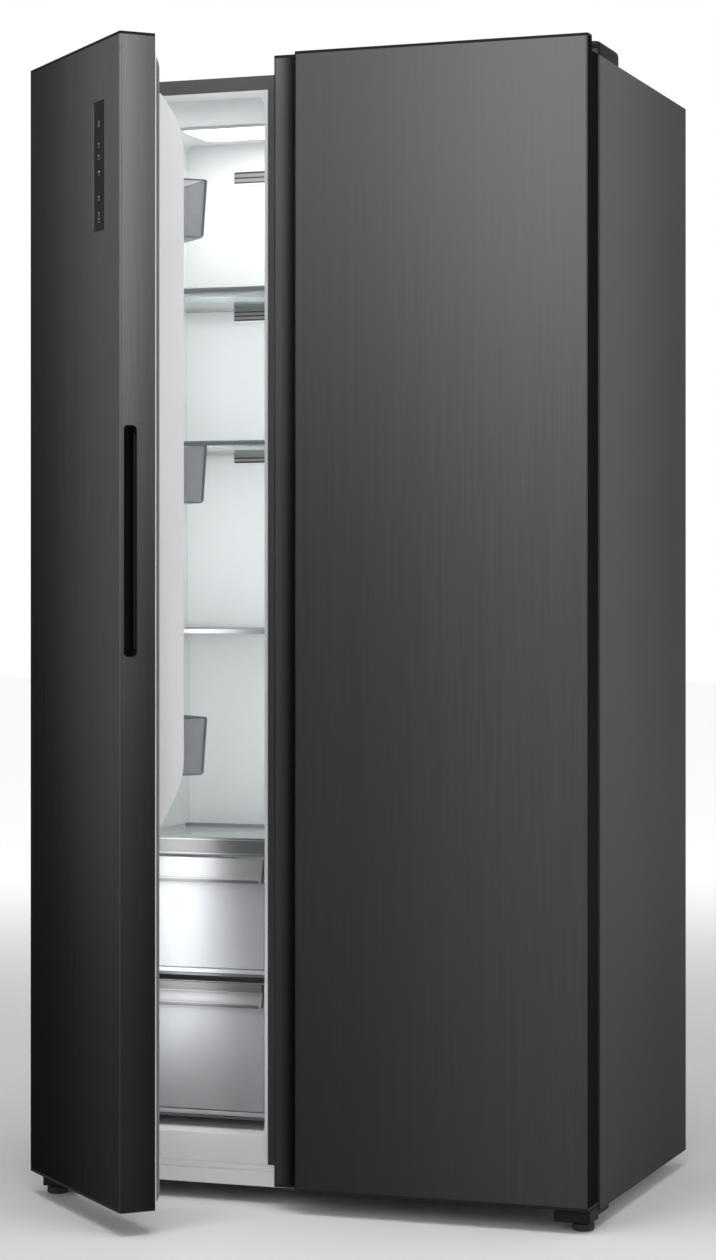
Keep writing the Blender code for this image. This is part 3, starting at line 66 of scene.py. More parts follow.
GAP = 0.0003
LINER_LIP = 0.0064
LINER_WALL = 0.002
RIB = 0.008
DRAWER_FLOOR_GAP = 0.0155
DRAWER_BACK_GAP = 0.006
COVER_START = 0.010
RIB_SETBACK = 0.020
RIB_BACK = 0.030
SIDES = ("freezer", "fridge")
CABINET = "cabinet"
DOOR_BODIES = {"freezer": "freezer_door", "fridge": "fridge_door"}
SCREW_R = 0.0042
AIR_SLOTS = ((0.053, 0.064), (0.265, 0.300), (0.522, 0.544))


# ---------------------------------------------------------------- finishes


class Value:
    """A number that varies over a surface, as one socket; arithmetic on it adds Math nodes."""

    def __init__(self, finish, socket):
        self.finish = finish
        self.socket = socket

    def join(self, operation, first, second):
        node = self.finish.node("ShaderNodeMath", {"operation": operation}, {0: first, 1: second})
        return Value(self.finish, node.outputs[0])

    def __add__(self, other):
        return self.join("ADD", self, other)

    def __radd__(self, other):
        return self.join("ADD", other, self)

    def __sub__(self, other):
        return self.join("SUBTRACT", self, other)

    def __rsub__(self, other):
        return self.join("SUBTRACT", other, self)

    def __mul__(self, other):
        return self.join("MULTIPLY", self, other)

    def __rmul__(self, other):
        return self.join("MULTIPLY", other, self)

    def __truediv__(self, other):
        return self.join("DIVIDE", self, other)

    def __pow__(self, other):
        return self.join("POWER", self, other)

    def at_most(self, other):
        return self.join("MINIMUM", self, other)


class Finish:
    """One material under construction."""

    def __init__(self, name, colour, roughness, metallic=0.0, **constants):
        self.material = bpy.data.materials.new(name)
        self.material.use_nodes = True
        self.tree = self.material.node_tree
        self.shader = self.tree.nodes["Principled BSDF"]
        self.material.diffuse_color = (*colour[:3], 1.0)
        self.set("Base Color", (*colour[:3], 1.0))
        self.set("Roughness", roughness)
        self.set("Metallic", metallic)
        for label, value in constants.items():
            self.set(label.replace("_", " ").title().replace("Ior", "IOR"), value)
        self.place = self.node("ShaderNodeTexCoord", {}, {}).outputs["Object"]

    def node(self, kind, settings, inputs):
        """Any node: its settings first, then the values or links of its sockets."""
        made = self.tree.nodes.new(kind)
        for label, value in settings.items():
            setattr(made, label, value)
        for key, value in inputs.items():
            self.feed(made.inputs[key], value)
        return made

    def feed(self, socket, value):
        if isinstance(value, Value):
            self.tree.links.new(value.socket, socket)
        elif isinstance(value, bpy.types.NodeSocket):
            self.tree.links.new(value, socket)
        else:
            socket.default_value = value

    def set(self, label, value):
        """A value, a link or a constant on the shader itself."""
        self.feed(self.shader.inputs[label], value)

    def along(self, axis):
        split = self.node("ShaderNodeSeparateXYZ", {}, {0: self.place})
        return Value(self, split.outputs["XYZ".index(axis)])

    def noise(self, scale, detail=3.0, roughness=0.55):
        """Noise from 0 to 1 whose grain has its own density along each axis, in cycles per metre."""
        mapped = self.node("ShaderNodeMapping", {}, {"Vector": self.place, "Scale": scale})
        inputs = {"Vector": mapped.outputs[0], "Scale": 1.0, "Detail": detail, "Roughness": roughness}
        return Value(self, self.node("ShaderNodeTexNoise", {}, inputs).outputs[0])

    def cells(self, scale, feature="F1"):
        settings = {"feature": feature}
        made = self.node("ShaderNodeTexVoronoi", settings, {"Vector": self.place, "Scale": scale})
        return Value(self, made.outputs["Distance"])

    def ramp(self, value, low, high):
        """0 below low, 1 above high and a smooth run between them."""
        settings = {"interpolation_type": "SMOOTHSTEP"}
        made = self.node("ShaderNodeMapRange", settings, {0: value, 1: low, 2: high, 3: 0.0, 4: 1.0})
        return Value(self, made.outputs[0])

    def blend(self, mask, first, second):
        """A colour between two others."""
        made = self.node("ShaderNodeMix", {"data_type": "RGBA"}, {0: mask})
        self.feed(made.inputs[6], (*first[:3], 1.0) if isinstance(first, tuple) else first)
        self.feed(made.inputs[7], (*second[:3], 1.0) if isinstance(second, tuple) else second)
        return made.outputs[2]

    def bump(self, height, depth, strength=1.0):
        inputs = {"Height": height, "Distance": depth, "Strength": strength}
        self.set("Normal", self.node("ShaderNodeBump", {}, inputs).outputs[0])


def shade(colour, factor):
    return tuple(min(1.0, part * factor) for part in colour[:3])


def steel_finish(name, side):
    """Dark brushed sheet with painted light and shade: its tone runs up the door and across it, with its
    folded sides apart, a painted shadow along the wide door's channel and a painted highlight on the front
    panel's edge.
    """
    doors = settings().doors
    leaf = Leaf(side)
    low, high = leaf.box(f"{side}_door_skin")
    tones = doors.fridge_painted_light_top_bottom if side == "fridge" else doors.freezer_painted_light_top_bottom
    across = doors.fridge_painted_light_left_right if side == "fridge" else doors.freezer_painted_light_left_right
    folds = doors.fridge_painted_light_folds if side == "fridge" else doors.freezer_painted_light_folds
    made = Finish(name, doors.steel, 0.34, 0.9, specular_ior_level=0.1, specular_tint=(0.3, 0.3, 0.3, 1.0))
    grain = doors.brush_grain
    fine = made.noise((grain, grain, grain / 300), 2.0, 0.6)
    broad = made.noise((grain / 9, grain / 9, 0.8), 2.0, 0.5)
    middle = made.noise((grain / 3.6, grain / 3.6, grain / 90), 2.0, 0.5)
    streak = fine * 0.40 + middle * 0.35 + broad * 0.25
    shut = leaf.turn.inverted()
    x = made.along("X") * shut[0][0] + made.along("Y") * shut[0][1] + shut[0][3]
    y = made.along("X") * shut[1][0] + made.along("Y") * shut[1][1] + shut[1][3]
    # Painted light and shade: the tone by height, across the door and on the folded sides stands in for how
    # the studio light falls on the sheet.
    height = made.ramp(made.along("Z"), -0.2, frame_top() + 0.1)
    rise = height ** (1.0 if side == "fridge" else 2.0)
    level = (tones[1] + rise * (tones[0] - tones[1])) * (0.70 + streak * 0.60)
    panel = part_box("fridge_handle")[0].x if side == "fridge" else low.x
    level = level * (across[0] + made.ramp(x, panel, high.x) * (across[1] - across[0]))
    right = made.ramp(x, high.x - 0.0016, high.x - 0.0004)
    left = 1.0 - made.ramp(x, low.x + 0.0004, low.x + 0.0016)
    run = 1.25 - made.ramp(y, low.y, high.y) * 0.55
    level = level * (1.0 + right * (run * folds[1] - 1.0)) * (1.0 + left * (folds[0] - 1.0))
    # Painted light and shadow on the channel strip, lighter at its left and going to near black towards the
    # front panel, and a painted highlight along the panel's edge.
    if side == "fridge":
        behind = made.ramp(y, low.y + 0.020, low.y + 0.024)
        strip = behind * (1.0 - made.ramp(x, panel - 0.0012, panel - 0.0004))
        channel_painted_shadow = 1.0 - made.ramp(x, low.x + 0.004, panel - 0.010) * 0.96
        level = level * (1.0 + strip * (channel_painted_shadow * 1.45 - 1.0))
        edge = made.ramp(x, panel - 0.0004, panel) * (1.0 - made.ramp(x, panel + 0.0012, panel + 0.0026))
        level = level * (1.0 + edge * 0.5)
    light = shade(doors.steel, 4.0)
    made.set("Base Color", made.blend((level * 0.25).at_most(1.0), (0.002, 0.002, 0.002), light))
    made.set("Roughness", 0.27 + streak * 0.16)
    made.bump(fine, doors.brush_depth, 0.35)
    return made.material


def paint_finish(name, colour, top, bottom, rear=1.0):
    """Satin sprayed paint with a faint orange peel, and painted shade that makes it a little darker low down
    and towards the rear.
    """
    made = Finish(name, colour, 0.50, 0.0, specular_ior_level=0.06)
    peel = made.noise((420.0, 420.0, 420.0), 2.0)
    cloud = made.noise((3.0, 3.0, 1.5), 2.0)
    low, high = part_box("outer_case")
    height = made.ramp(made.along("Z"), 0.0, high.z)
    depth = made.ramp(made.along("Y"), low.y, high.y)
    # Painted shade: darker towards the bottom and towards the rear.
    level = (bottom + height * (top - bottom)) * (1.0 - depth * (1.0 - rear)) * (0.96 + cloud * 0.08)
    made.set("Base Color", made.blend(level.at_most(1.0), (0.002, 0.002, 0.002), tuple(colour)))
    made.set("Roughness", 0.44 + cloud * 0.10)
    made.bump(peel, 0.00012, 0.5)
    return made.material


def plastic_finish(name, colour, roughness, grain=900.0, depth=0.00006, **constants):
    """Moulded plastic: fine spark grain, slight flow marks and a sheen that varies a little."""
    made = Finish(name, colour, roughness, 0.0, **constants)
    spark = made.noise((grain, grain, grain), 2.0)
    flow = made.noise((7.0, 7.0, 4.0), 2.0)
    made.set("Base Color", made.blend(flow, shade(colour, 0.94), shade(colour, 1.04)))
    made.set("Roughness", roughness - 0.05 + flow * 0.10)
    made.bump(spark, depth, 0.5)
    return made.material


def clear_finish(name, colour, roughness, face, edge):
    """Thin clear sheet: nearly open seen square on, denser and darker towards its edges."""
    made = Finish(name, colour, roughness, 0.0, specular_ior_level=0.6)
    facing = made.node("ShaderNodeLayerWeight", {}, {"Blend": 0.35}).outputs["Facing"]
    slant = Value(made, facing)
    wash = made.noise((30.0, 30.0, 30.0), 2.0)
    made.set("Alpha", (face + slant * (edge - face)).at_most(1.0))
    made.set("Base Color", made.blend(slant, shade(colour, 1.0), shade(colour, 0.55)))
    made.set("Roughness", roughness + wash * 0.04)
    made.material.surface_render_method = "DITHERED"
    return made.material


def frosted_finish(name, colour, roughness, alpha, gloss=0.5):
    """Translucent moulding that hides what is behind it but for a shadow."""
    made = Finish(name, colour, roughness, 0.0, specular_ior_level=gloss)
    cloud = made.noise((18.0, 18.0, 9.0), 3.0)
    spark = made.noise((1200.0, 1200.0, 1200.0), 1.0)
    made.set("Alpha", (alpha + cloud * 0.10).at_most(1.0))
    made.set("Base Color", made.blend(cloud, shade(colour, 0.93), shade(colour, 1.05)))
    made.set("Roughness", roughness + cloud * 0.12)
    made.bump(spark, 0.00005, 0.4)
    return made.material


def galvanised_finish():
    """Zinc coat with its flakes of grey."""
    colour = (0.50, 0.51, 0.52)
    made = Finish("zinc_sheet", colour, 0.42, 0.85)
    flake = made.cells(60.0)
    wear = made.noise((9.0, 9.0, 9.0), 4.0)
    made.set("Base Color", made.blend(flake, shade(colour, 1.06), shade(colour, 0.90)))
    made.set("Roughness", 0.32 + wear * 0.22)
    made.bump(flake, 0.00005, 0.3)
    return made.material


def brushed_finish(name, colour, roughness, scale, metallic=1.0):
    """Metal or metal-coated plastic with a grain in one direction."""
    made = Finish(name, colour, roughness, metallic)
    grain = made.noise(scale, 2.0, 0.6)
    made.set("Base Color", made.blend(grain, shade(colour, 0.86), shade(colour, 1.12)))
    made.set("Roughness", roughness - 0.06 + grain * 0.14)
    made.bump(grain, 0.00004, 0.3)
    return made.material


def foam_finish():
    colour = (0.74, 0.64, 0.38)
    made = Finish("poured_foam", colour, 0.92)
    pores = made.cells(380.0)
    cloud = made.noise((22.0, 22.0, 22.0), 3.0)
    made.set("Base Color", made.blend(cloud, shade(colour, 0.84), shade(colour, 1.12)))
    made.bump(pores, 0.0006, 0.8)
    return made.material


def rubber_finish(name, colour):
    made = Finish(name, colour, 0.62, 0.0)
    grain = made.noise((260.0, 260.0, 260.0), 3.0)
    dust = made.noise((14.0, 14.0, 5.0), 3.0)
    made.set("Base Color", made.blend(dust, shade(colour, 0.85), shade(colour, 1.25)))
    made.set("Roughness", 0.54 + grain * 0.18)
    made.bump(grain, 0.00012, 0.5)
    return made.material


def glow_finish(name, colour, strength, stripes=0.0):
    """Lit lens, with faint prisms across it where it has them."""
    made = Finish(name, colour, 0.25, 0.0)
    cloud = made.noise((25.0, 25.0, 25.0), 1.0)
    made.set("Base Color", made.blend(cloud, shade(colour, 0.95), shade(colour, 1.0)))
    made.set("Emission Color", made.blend(cloud, shade(colour, 0.92), shade(colour, 1.0)))
    made.set("Emission Strength", strength)
    if stripes:
        wave = made.node("ShaderNodeMath", {"operation": "SINE"}, {0: made.along("X") * stripes})
        made.bump(Value(made, wave.outputs[0]), 0.0004, 0.6)
    return made.material


def panel_finish():
    """Smoked control window: almost black, with a soft haze in its gloss."""
    colour = (0.012, 0.012, 0.013)
    made = Finish("smoked_panel", colour, 0.40, 0.0, specular_ior_level=0.25)
    haze = made.noise((16.0, 16.0, 6.0), 3.0)
    made.set("Base Color", made.blend(haze, shade(colour, 0.8), shade(colour, 1.6)))
    made.set("Roughness", 0.34 + haze * 0.12)
    return made.material


def floor_finish(colour):
    """Pale matt floor with a painted glow that grows far from the object, so that it blends into the
    surroundings.
    """
    made = Finish("pale_floor", tuple(colour), 0.75, 0.0, specular_ior_level=0.2)
    cloud = made.noise((1.2, 1.2, 1.2), 2.0)
    x, y = made.along("X"), made.along("Y")
    away = made.ramp((x * x + y * y) ** 0.5, 1.6, 6.0)
    near = made.blend(cloud, shade(colour, 0.985), tuple(colour))
    made.set("Base Color", near)
    # Painted glow: the floor gives off light that grows with distance from the object.
    made.set("Emission Color", made.blend(away, (0.0, 0.0, 0.0), (0.62, 0.62, 0.62)))
    made.set("Emission Strength", 1.0)
    return made.material


FINISHES = {}


def finish(name):
    """A named finish, made on first use from the current settings."""
    if name not in FINISHES:
        FINISHES[name] = FINISH_MAKERS[name]()
    return FINISHES[name]


FINISH_MAKERS = {
    "wide_door_steel": lambda: steel_finish("wide_door_steel", "fridge"),
    "narrow_door_steel": lambda: steel_finish("narrow_door_steel", "freezer"),
    "case_paint": lambda: paint_finish(
        "case_paint", settings().cabinet.paint, *settings().cabinet.case_painted_shade_top_bottom, settings().cabinet.case_painted_shade_rear
    ),
    # Painted shade: the rail paint is darker towards the bottom.
    "rail_paint": lambda: paint_finish("rail_paint", (0.120, 0.120, 0.122), 1.0, 0.45),
    "white_moulding": lambda: plastic_finish(
        "white_moulding", settings().inside.white, 0.34, 500.0, 0.00004
    ),
    "black_moulding": lambda: plastic_finish(
        "black_moulding", (0.014, 0.014, 0.015), 0.55, specular_ior_level=0.12
    ),
    "dark_slat": lambda: plastic_finish("dark_slat", (0.055, 0.057, 0.060), 0.45),
    "vapour_seal": lambda: rubber_finish("vapour_seal", (0.20, 0.20, 0.21)),
    "foot_rubber": lambda: rubber_finish("foot_rubber", (0.022, 0.022, 0.024)),
    "shelf_glass": lambda: clear_finish("shelf_glass", (0.70, 0.82, 0.80), 0.03, 0.10, 0.85),
    "bin_clear": lambda: clear_finish("bin_clear", (0.42, 0.45, 0.48), 0.06, 0.30, 0.75),
    "frosted_drawer": lambda: frosted_finish("frosted_drawer", (0.70, 0.73, 0.75), 0.30, 0.72),
    "drawer_face": lambda: frosted_finish("drawer_face", (0.40, 0.41, 0.425), 0.52, 0.80, 0.25),
    "trim_grey": lambda: plastic_finish("trim_grey", (0.42, 0.43, 0.44), 0.34, 500.0),
    "vent_grey": lambda: plastic_finish("vent_grey", (0.30, 0.30, 0.31), 0.5),
    "smoked_rim": lambda: plastic_finish("smoked_rim", (0.10, 0.11, 0.12), 0.22, 700.0),
    "shelf_trim": lambda: plastic_finish("shelf_trim", (0.30, 0.31, 0.33), 0.28, 700.0),
    "band_grey": lambda: plastic_finish("band_grey", (0.11, 0.112, 0.116), 0.40, 700.0),
    "silver_grip": lambda: brushed_finish(
        "silver_grip", (0.30, 0.305, 0.315), 0.50, (6.0, 900.0, 900.0), 0.35
    ),
    "zinc_sheet": galvanised_finish,
    "mill_aluminium": lambda: brushed_finish(
        "mill_aluminium", (0.78, 0.79, 0.80), 0.34, (300.0, 300.0, 20.0)
    ),
    "copper_pipe": lambda: brushed_finish("copper_pipe", (0.72, 0.36, 0.22), 0.30, (60.0, 60.0, 60.0)),
    "screw_steel": lambda: brushed_finish("screw_steel", (0.46, 0.46, 0.47), 0.30, (500.0, 500.0, 90.0)),
    "pot_enamel": lambda: plastic_finish(
        "pot_enamel", (0.012, 0.012, 0.013), 0.24, 260.0, 0.0002, coat_weight=0.5
    ),
    "poured_foam": foam_finish,
    "lamp_lens": lambda: glow_finish(
        "lamp_lens", (1.0, 0.985, 0.95), settings().inside.lamp_strength, 900.0
    ),
    "panel_mark": lambda: glow_finish("panel_mark", (0.30, 0.31, 0.32), 0.12),
    "panel_lit": lambda: glow_finish("panel_lit", (0.85, 0.93, 1.0), 1.6),
    "smoked_panel": panel_finish,
}


# ---------------------------------------------------------------- places


def frame_top():
    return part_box("outer_case")[1].z


class Leaf:
    """One door: the axis it turns on, how it stands, and the boxes of its pieces with the door shut."""

    def __init__(self, side):
        self.side = side
        self.body = DOOR_BODIES[side]
        self.out = 1 if side == "freezer" else -1
        joint = next(j for j in frame["joints"] if j["name"] == f"{side}_door_hinge")
        pin = Matrix.Translation(Vector(joint["pos_m"]))
        ajar = -math.radians(joint["range_deg"][0])
        self.turn = pin @ Matrix.Rotation(ajar * joint["axis"][2], 4, "Z") @ pin.inverted()

    def box(self, node):
        """Lowest and highest corner of one of the door's nodes with the door shut."""
        back = self.turn.inverted()
        places = [back @ vertex.co for vertex in NODES[node].data.vertices]
        low = Vector(min(place[k] for place in places) for k in range(3))
        high = Vector(max(place[k] for place in places) for k in range(3))
        return low, high

    def set_open(self, bm):
        bmesh.ops.transform(bm, matrix=self.turn, verts=bm.verts)
        return bm


def inside_of(side):
    """The compartment's room: x, y and z pairs, and where its step begins and ends."""
    low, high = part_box(f"{side}_liner")
    drawer_low, drawer_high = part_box("freezer_drawer_lower")
    return {
        "x": (low.x + LINER_LIP, high.x - LINER_LIP),
        "y": (low.y, high.y - LINER_WALL),
        "z": (drawer_low.z - DRAWER_FLOOR_GAP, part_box(f"{side}_light")[1].z + GAP),
        "step_y": drawer_high.y + DRAWER_BACK_GAP,
        "step_z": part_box("freezer_back_cover")[0].z - COVER_START,
        "flange_z": (low.z, high.z),
    }


# ---------------------------------------------------------------- mesh tools


def rounded_rectangle(a, b, radius, steps=5):
    """Points of a rectangle with arcs at its corners, anticlockwise."""
    (a0, a1), (b0, b1) = a, b
    radius = max(1e-5, min(radius, (a1 - a0) / 2 - 1e-5, (b1 - b0) / 2 - 1e-5))
    centres = [(a1 - radius, b0 + radius), (a1 - radius, b1 - radius)]
    centres += [(a0 + radius, b1 - radius), (a0 + radius, b0 + radius)]
    points = []
    for quarter, (ca, cb) in enumerate(centres):
        for k in range(steps + 1):
            angle = math.pi / 2 * (quarter - 1 + k / steps)
            points.append((ca + radius * math.cos(angle), cb + radius * math.sin(angle)))
    return points


def lift(points, axis, along):
    """Flat points set in space, at one place along an axis; a pair is the other axes in X, Y, Z order."""
    out = []
    for pair in points:
        place = list(pair)
        place.insert("XYZ".index(axis), along)
        out.append(tuple(place))
    return out


def loft(bm, rings, caps=(True, True), closed=False):
    """A skin over rings of the same number of points."""
    rows = [[bm.verts.new(point) for point in ring] for ring in rings]
    pairs = list(zip(rows, rows[1:]))
    if closed:
        pairs.append((rows[-1], rows[0]))
    count = len(rows[0])
    for low, high in pairs:
        for k in range(count):
            bm.faces.new((low[k], low[(k + 1) % count], high[(k + 1) % count], high[k]))
    if caps[0] and not closed:
        bm.faces.new(rows[0])
    if caps[1] and not closed:
        bm.faces.new(rows[-1])
    bmesh.ops.remove_doubles(bm, verts=bm.verts, dist=1e-6)
    bmesh.ops.recalc_face_normals(bm, faces=bm.faces)


def prism(bm, outline, axis, start, end):
    loft(bm, [lift(outline, axis, start), lift(outline, axis, end)])


def block(bm, x, y, z, edge=0.0, steps=2):
    """A block between pairs of values, with its edges rounded."""
    part = bmesh.new()
    size = [max(pair) - min(pair) for pair in (x, y, z)]
    middle = [(max(pair) + min(pair)) / 2 for pair in (x, y, z)]
    place = Matrix.Translation(Vector(middle)) @ Matrix.Diagonal((*size, 1.0))
    bmesh.ops.create_cube(part, size=1.0, matrix=place)
    if edge:
        width = min(edge, min(size) * 0.45)
        bmesh.ops.bevel(part, geom=part.edges[:], offset=width, segments=steps, profile=0.5, affect="EDGES")
    merge(bm, part)


def merge(bm, part):
    """Adds one mesh to another and frees it."""
    held = bpy.data.meshes.new("part")
    part.to_mesh(held)
    part.free()
    bm.from_mesh(held)
    bpy.data.meshes.remove(held)


def turned(bm, profile, centre, axis, steps=32):
    """A solid of revolution about an axis through a centre; the profile's pairs are (radius, along)."""
    rings = []
    index = "XYZ".index(axis)
    for radius, along in profile:
        flat = []
        for k in range(steps):
            angle = 2 * math.pi * k / steps
            flat.append((max(radius, 1e-5) * math.cos(angle), max(radius, 1e-5) * math.sin(angle)))
        ring = []
        for place in lift(flat, axis, along):
            shifted = [place[n] + (centre[n] if n != index else centre[index]) for n in range(3)]
            ring.append(tuple(shifted))
        rings.append(ring)
    part = bmesh.new()
    loft(part, rings)
    merge(bm, part)


def link(name, bm, finish_name):
    mesh = bpy.data.meshes.new(name)
    bm.to_mesh(mesh)
    bm.free()
    obj = bpy.data.objects.new(name, mesh)
    bpy.context.scene.collection.objects.link(obj)
    mesh.materials.append(finish(finish_name))
    return obj


def smooth(obj, angle=38):
    obj.data.shade_smooth()
    obj.data.set_sharp_from_angle(angle=math.radians(angle))


def bevel(obj, width, segments=2, angle=30):
    made = obj.modifiers.new("soft_edges", "BEVEL")
    made.width = width
    made.segments = segments
    made.limit_method = "ANGLE"
    made.angle_limit = math.radians(angle)
    made.harden_normals = False


def piece(name, bm, finish_name, body, replaced=(), soft=0.0):
    """A finished piece: its mesh, its finish, the body it rides on and the nodes that it stands for."""
    obj = link(name, bm, finish_name)
    smooth(obj)
    if soft:
        bevel(obj, soft)
    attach(obj, body)
    if replaced:
        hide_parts(*replaced)
    return obj


def dress(finish_name, *nodes):
    """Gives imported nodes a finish."""
    for node in nodes:
        for held in NODES[node].material_slots:
            held.material = finish(finish_name)


# ---------------------------------------------------------------- geometry nodes


def new_tree(name, inputs):
    """A geometry tree with named inputs; returns the tree, its input node and its output node."""
    tree = bpy.data.node_groups.new(name, "GeometryNodeTree")
    tree.interface.new_socket("Geometry", in_out="INPUT", socket_type="NodeSocketGeometry")
    for label, kind in inputs:
        tree.interface.new_socket(label, in_out="INPUT", socket_type=kind)
    tree.interface.new_socket("Geometry", in_out="OUTPUT", socket_type="NodeSocketGeometry")
    return tree, tree.nodes.new("NodeGroupInput"), tree.nodes.new("NodeGroupOutput")


def wire(tree, kind, settings, links):
    node = tree.nodes.new(kind)
    for label, value in settings.items():
        setattr(node, label, value)
    for key, value in links.items():
        if isinstance(value, bpy.types.NodeSocket):
            tree.links.new(value, node.inputs[key])
        else:
            node.inputs[key].default_value = value
    return node


def close_tree(tree, given, out, geometry):
    real = wire(tree, "GeometryNodeRealizeInstances", {}, {0: geometry})
    done = wire(tree, "GeometryNodeSetMaterial", {}, {0: real.outputs[0], 2: given.outputs["Finish"]})
    tree.links.new(done.outputs[0], out.inputs[0])
    return tree


def row_tree():
    """Copies of the piece that it is put on, in a row."""
    inputs = [
        ("Count", "NodeSocketInt"),
        ("Start", "NodeSocketVector"),
        ("Step", "NodeSocketVector"),
        ("Finish", "NodeSocketMaterial"),
    ]
    tree, given, out = new_tree("row_of_pieces", inputs)
    settings_ = {"mode": "OFFSET"}
    links = {"Count": given.outputs["Count"], "Offset": given.outputs["Step"]}
    line = wire(tree, "GeometryNodeMeshLine", settings_, links)
    tree.links.new(given.outputs["Start"], line.inputs["Start Location"])
    places = {"Points": line.outputs[0], "Instance": given.outputs["Geometry"]}
    copies = wire(tree, "GeometryNodeInstanceOnPoints", {}, places)
    return close_tree(tree, given, out, copies.outputs[0])


def wheel_tree():
    """Copies of the piece that it is put on, turned round the Z axis in equal steps."""
    inputs = [("Count", "NodeSocketInt"), ("Finish", "NodeSocketMaterial")]
    tree, given, out = new_tree("wheel_of_pieces", inputs)
    line = wire(tree, "GeometryNodeMeshLine", {"mode": "OFFSET"}, {"Count": given.outputs["Count"]})
    line.inputs["Offset"].default_value = (0.0, 0.0, 0.0)
    index = wire(tree, "GeometryNodeInputIndex", {}, {})
    turn_of = {0: index.outputs[0], 1: given.outputs["Count"]}
    share = wire(tree, "ShaderNodeMath", {"operation": "DIVIDE"}, turn_of)
    angle = wire(tree, "ShaderNodeMath", {"operation": "MULTIPLY"}, {0: share.outputs[0], 1: 2 * math.pi})
    turn = wire(tree, "ShaderNodeCombineXYZ", {}, {2: angle.outputs[0]})
    places = {"Points": line.outputs[0], "Instance": given.outputs["Geometry"], "Rotation": turn.outputs[0]}
    copies = wire(tree, "GeometryNodeInstanceOnPoints", {}, places)
    return close_tree(tree, given, out, copies.outputs[0])


def bead_tree():
    """A round bead along the path that it is put on."""
    inputs = [("Radius", "NodeSocketFloat"), ("Sides", "NodeSocketInt"), ("Finish", "NodeSocketMaterial")]
    tree, given, out = new_tree("bead_on_path", inputs)
    path = wire(tree, "GeometryNodeMeshToCurve", {}, {0: given.outputs["Geometry"]})
    sizes = {"Resolution": given.outputs["Sides"], "Radius": given.outputs["Radius"]}
    round_ = wire(tree, "GeometryNodeCurvePrimitiveCircle", {"mode": "RADIUS"}, sizes)
    links = {"Curve": path.outputs[0], "Profile Curve": round_.outputs[0], "Fill Caps": True}
    bead = wire(tree, "GeometryNodeCurveToMesh", {}, links)
    return close_tree(tree, given, out, bead.outputs[0])


TREES = {"row": row_tree, "wheel": wheel_tree, "bead": bead_tree}


def grown(name, bm, tree_name, values, finish_name):
    """The plain mesh that one of the trees makes from a base mesh, as a bmesh."""
    base = link(name + "_base", bm, finish_name)
    label = {"row": "row_of_pieces", "wheel": "wheel_of_pieces", "bead": "bead_on_path"}[tree_name]
    tree = bpy.data.node_groups.get(label) or TREES[tree_name]()
    modifier = base.modifiers.new(tree_name, "NODES")
    modifier.node_group = tree
    wanted = {**values, "Finish": finish(finish_name)}
    for socket in tree.interface.items_tree:
        if socket.in_out == "INPUT" and socket.name in wanted:
            modifier[socket.identifier] = wanted[socket.name]
    evaluated = base.evaluated_get(bpy.context.evaluated_depsgraph_get())
    mesh = bpy.data.meshes.new_from_object(evaluated)
    base.modifiers.remove(modifier)
    bpy.data.objects.remove(base)
    out = bmesh.new()
    out.from_mesh(mesh)
    bpy.data.meshes.remove(mesh)
    return out


def row(name, bm, count, start, step, finish_name):
    values = {"Count": count, "Start": tuple(start), "Step": tuple(step)}
    return grown(name, bm, "row", values, finish_name)


def bead(name, path, radius, finish_name, sides=8, closed=False):
    bm = bmesh.new()
    points = [bm.verts.new(place) for place in path]
    for a, b in zip(points, points[1:]):
        bm.edges.new((a, b))
    if closed:
        bm.edges.new((points[-1], points[0]))
    return grown(name, bm, "bead", {"Radius": radius, "Sides": sides}, finish_name)


def screw(axis, way, radius=SCREW_R):
    """A domed screw head with a cross recess, at the origin, whose top faces along an axis."""
    bm = bmesh.new()
    steps = 16
    crown = radius * 0.5
    profile = [(radius, 0.0), (radius, crown * 0.35), (radius * 0.8, crown * 0.8), (radius * 0.45, crown)]
    turned(bm, profile, (0.0, 0.0, 0.0), "Z", steps)
    for a, b in ((0.62, 0.14), (0.14, 0.62)):
        across, along = (-radius * a, radius * a), (-radius * b, radius * b)
        block(bm, across, along, (crown * 0.8, crown * 1.08), 0.0002, 1)
    turn = {"X": Matrix.Rotation(math.pi / 2 * way, 4, "Y"), "Y": Matrix.Rotation(-math.pi / 2 * way, 4, "X")}
    turn["Z"] = Matrix.Identity(4) if way > 0 else Matrix.Rotation(math.pi, 4, "X")
    bmesh.ops.transform(bm, matrix=turn[axis], verts=bm.verts)
    return bm


# ---------------------------------------------------------------- shapes that several pieces share


def grow(pair, amount):
    return (min(pair) - amount, max(pair) + amount)


def tub(bm, x, y, z, wall, radius, draft=0.0, rim=0.0):
    """An open moulded box with rounded corners, walls that lean in and a rolled rim."""
    floor = z[0] + wall
    foot = 0.35 * radius
    levels = [
        (draft + foot, z[0], radius),
        (draft, z[0] + foot, radius),
        (rim, z[1] - 2.2 * rim - 0.001, radius),
        (0.0, z[1] - 2.0 * rim - 0.0005, radius),
        (0.0, z[1] - 0.0006, radius),
        (0.0006, z[1], radius),
        (wall + rim * 0.5, z[1], radius - wall),
        (wall + rim, z[1] - 0.0008, radius - wall),
        (wall + draft, floor + foot, radius - wall),
        (wall + draft + foot, floor, radius - wall),
    ]
    rings = []
    for inset, height, corner in levels:
        flat = rounded_rectangle(grow(x, -inset), grow(y, -inset), max(0.001, corner - inset * 0.3), 6)
        rings.append(lift(flat, "Z", height))
    part = bmesh.new()
    loft(part, rings)
    merge(bm, part)


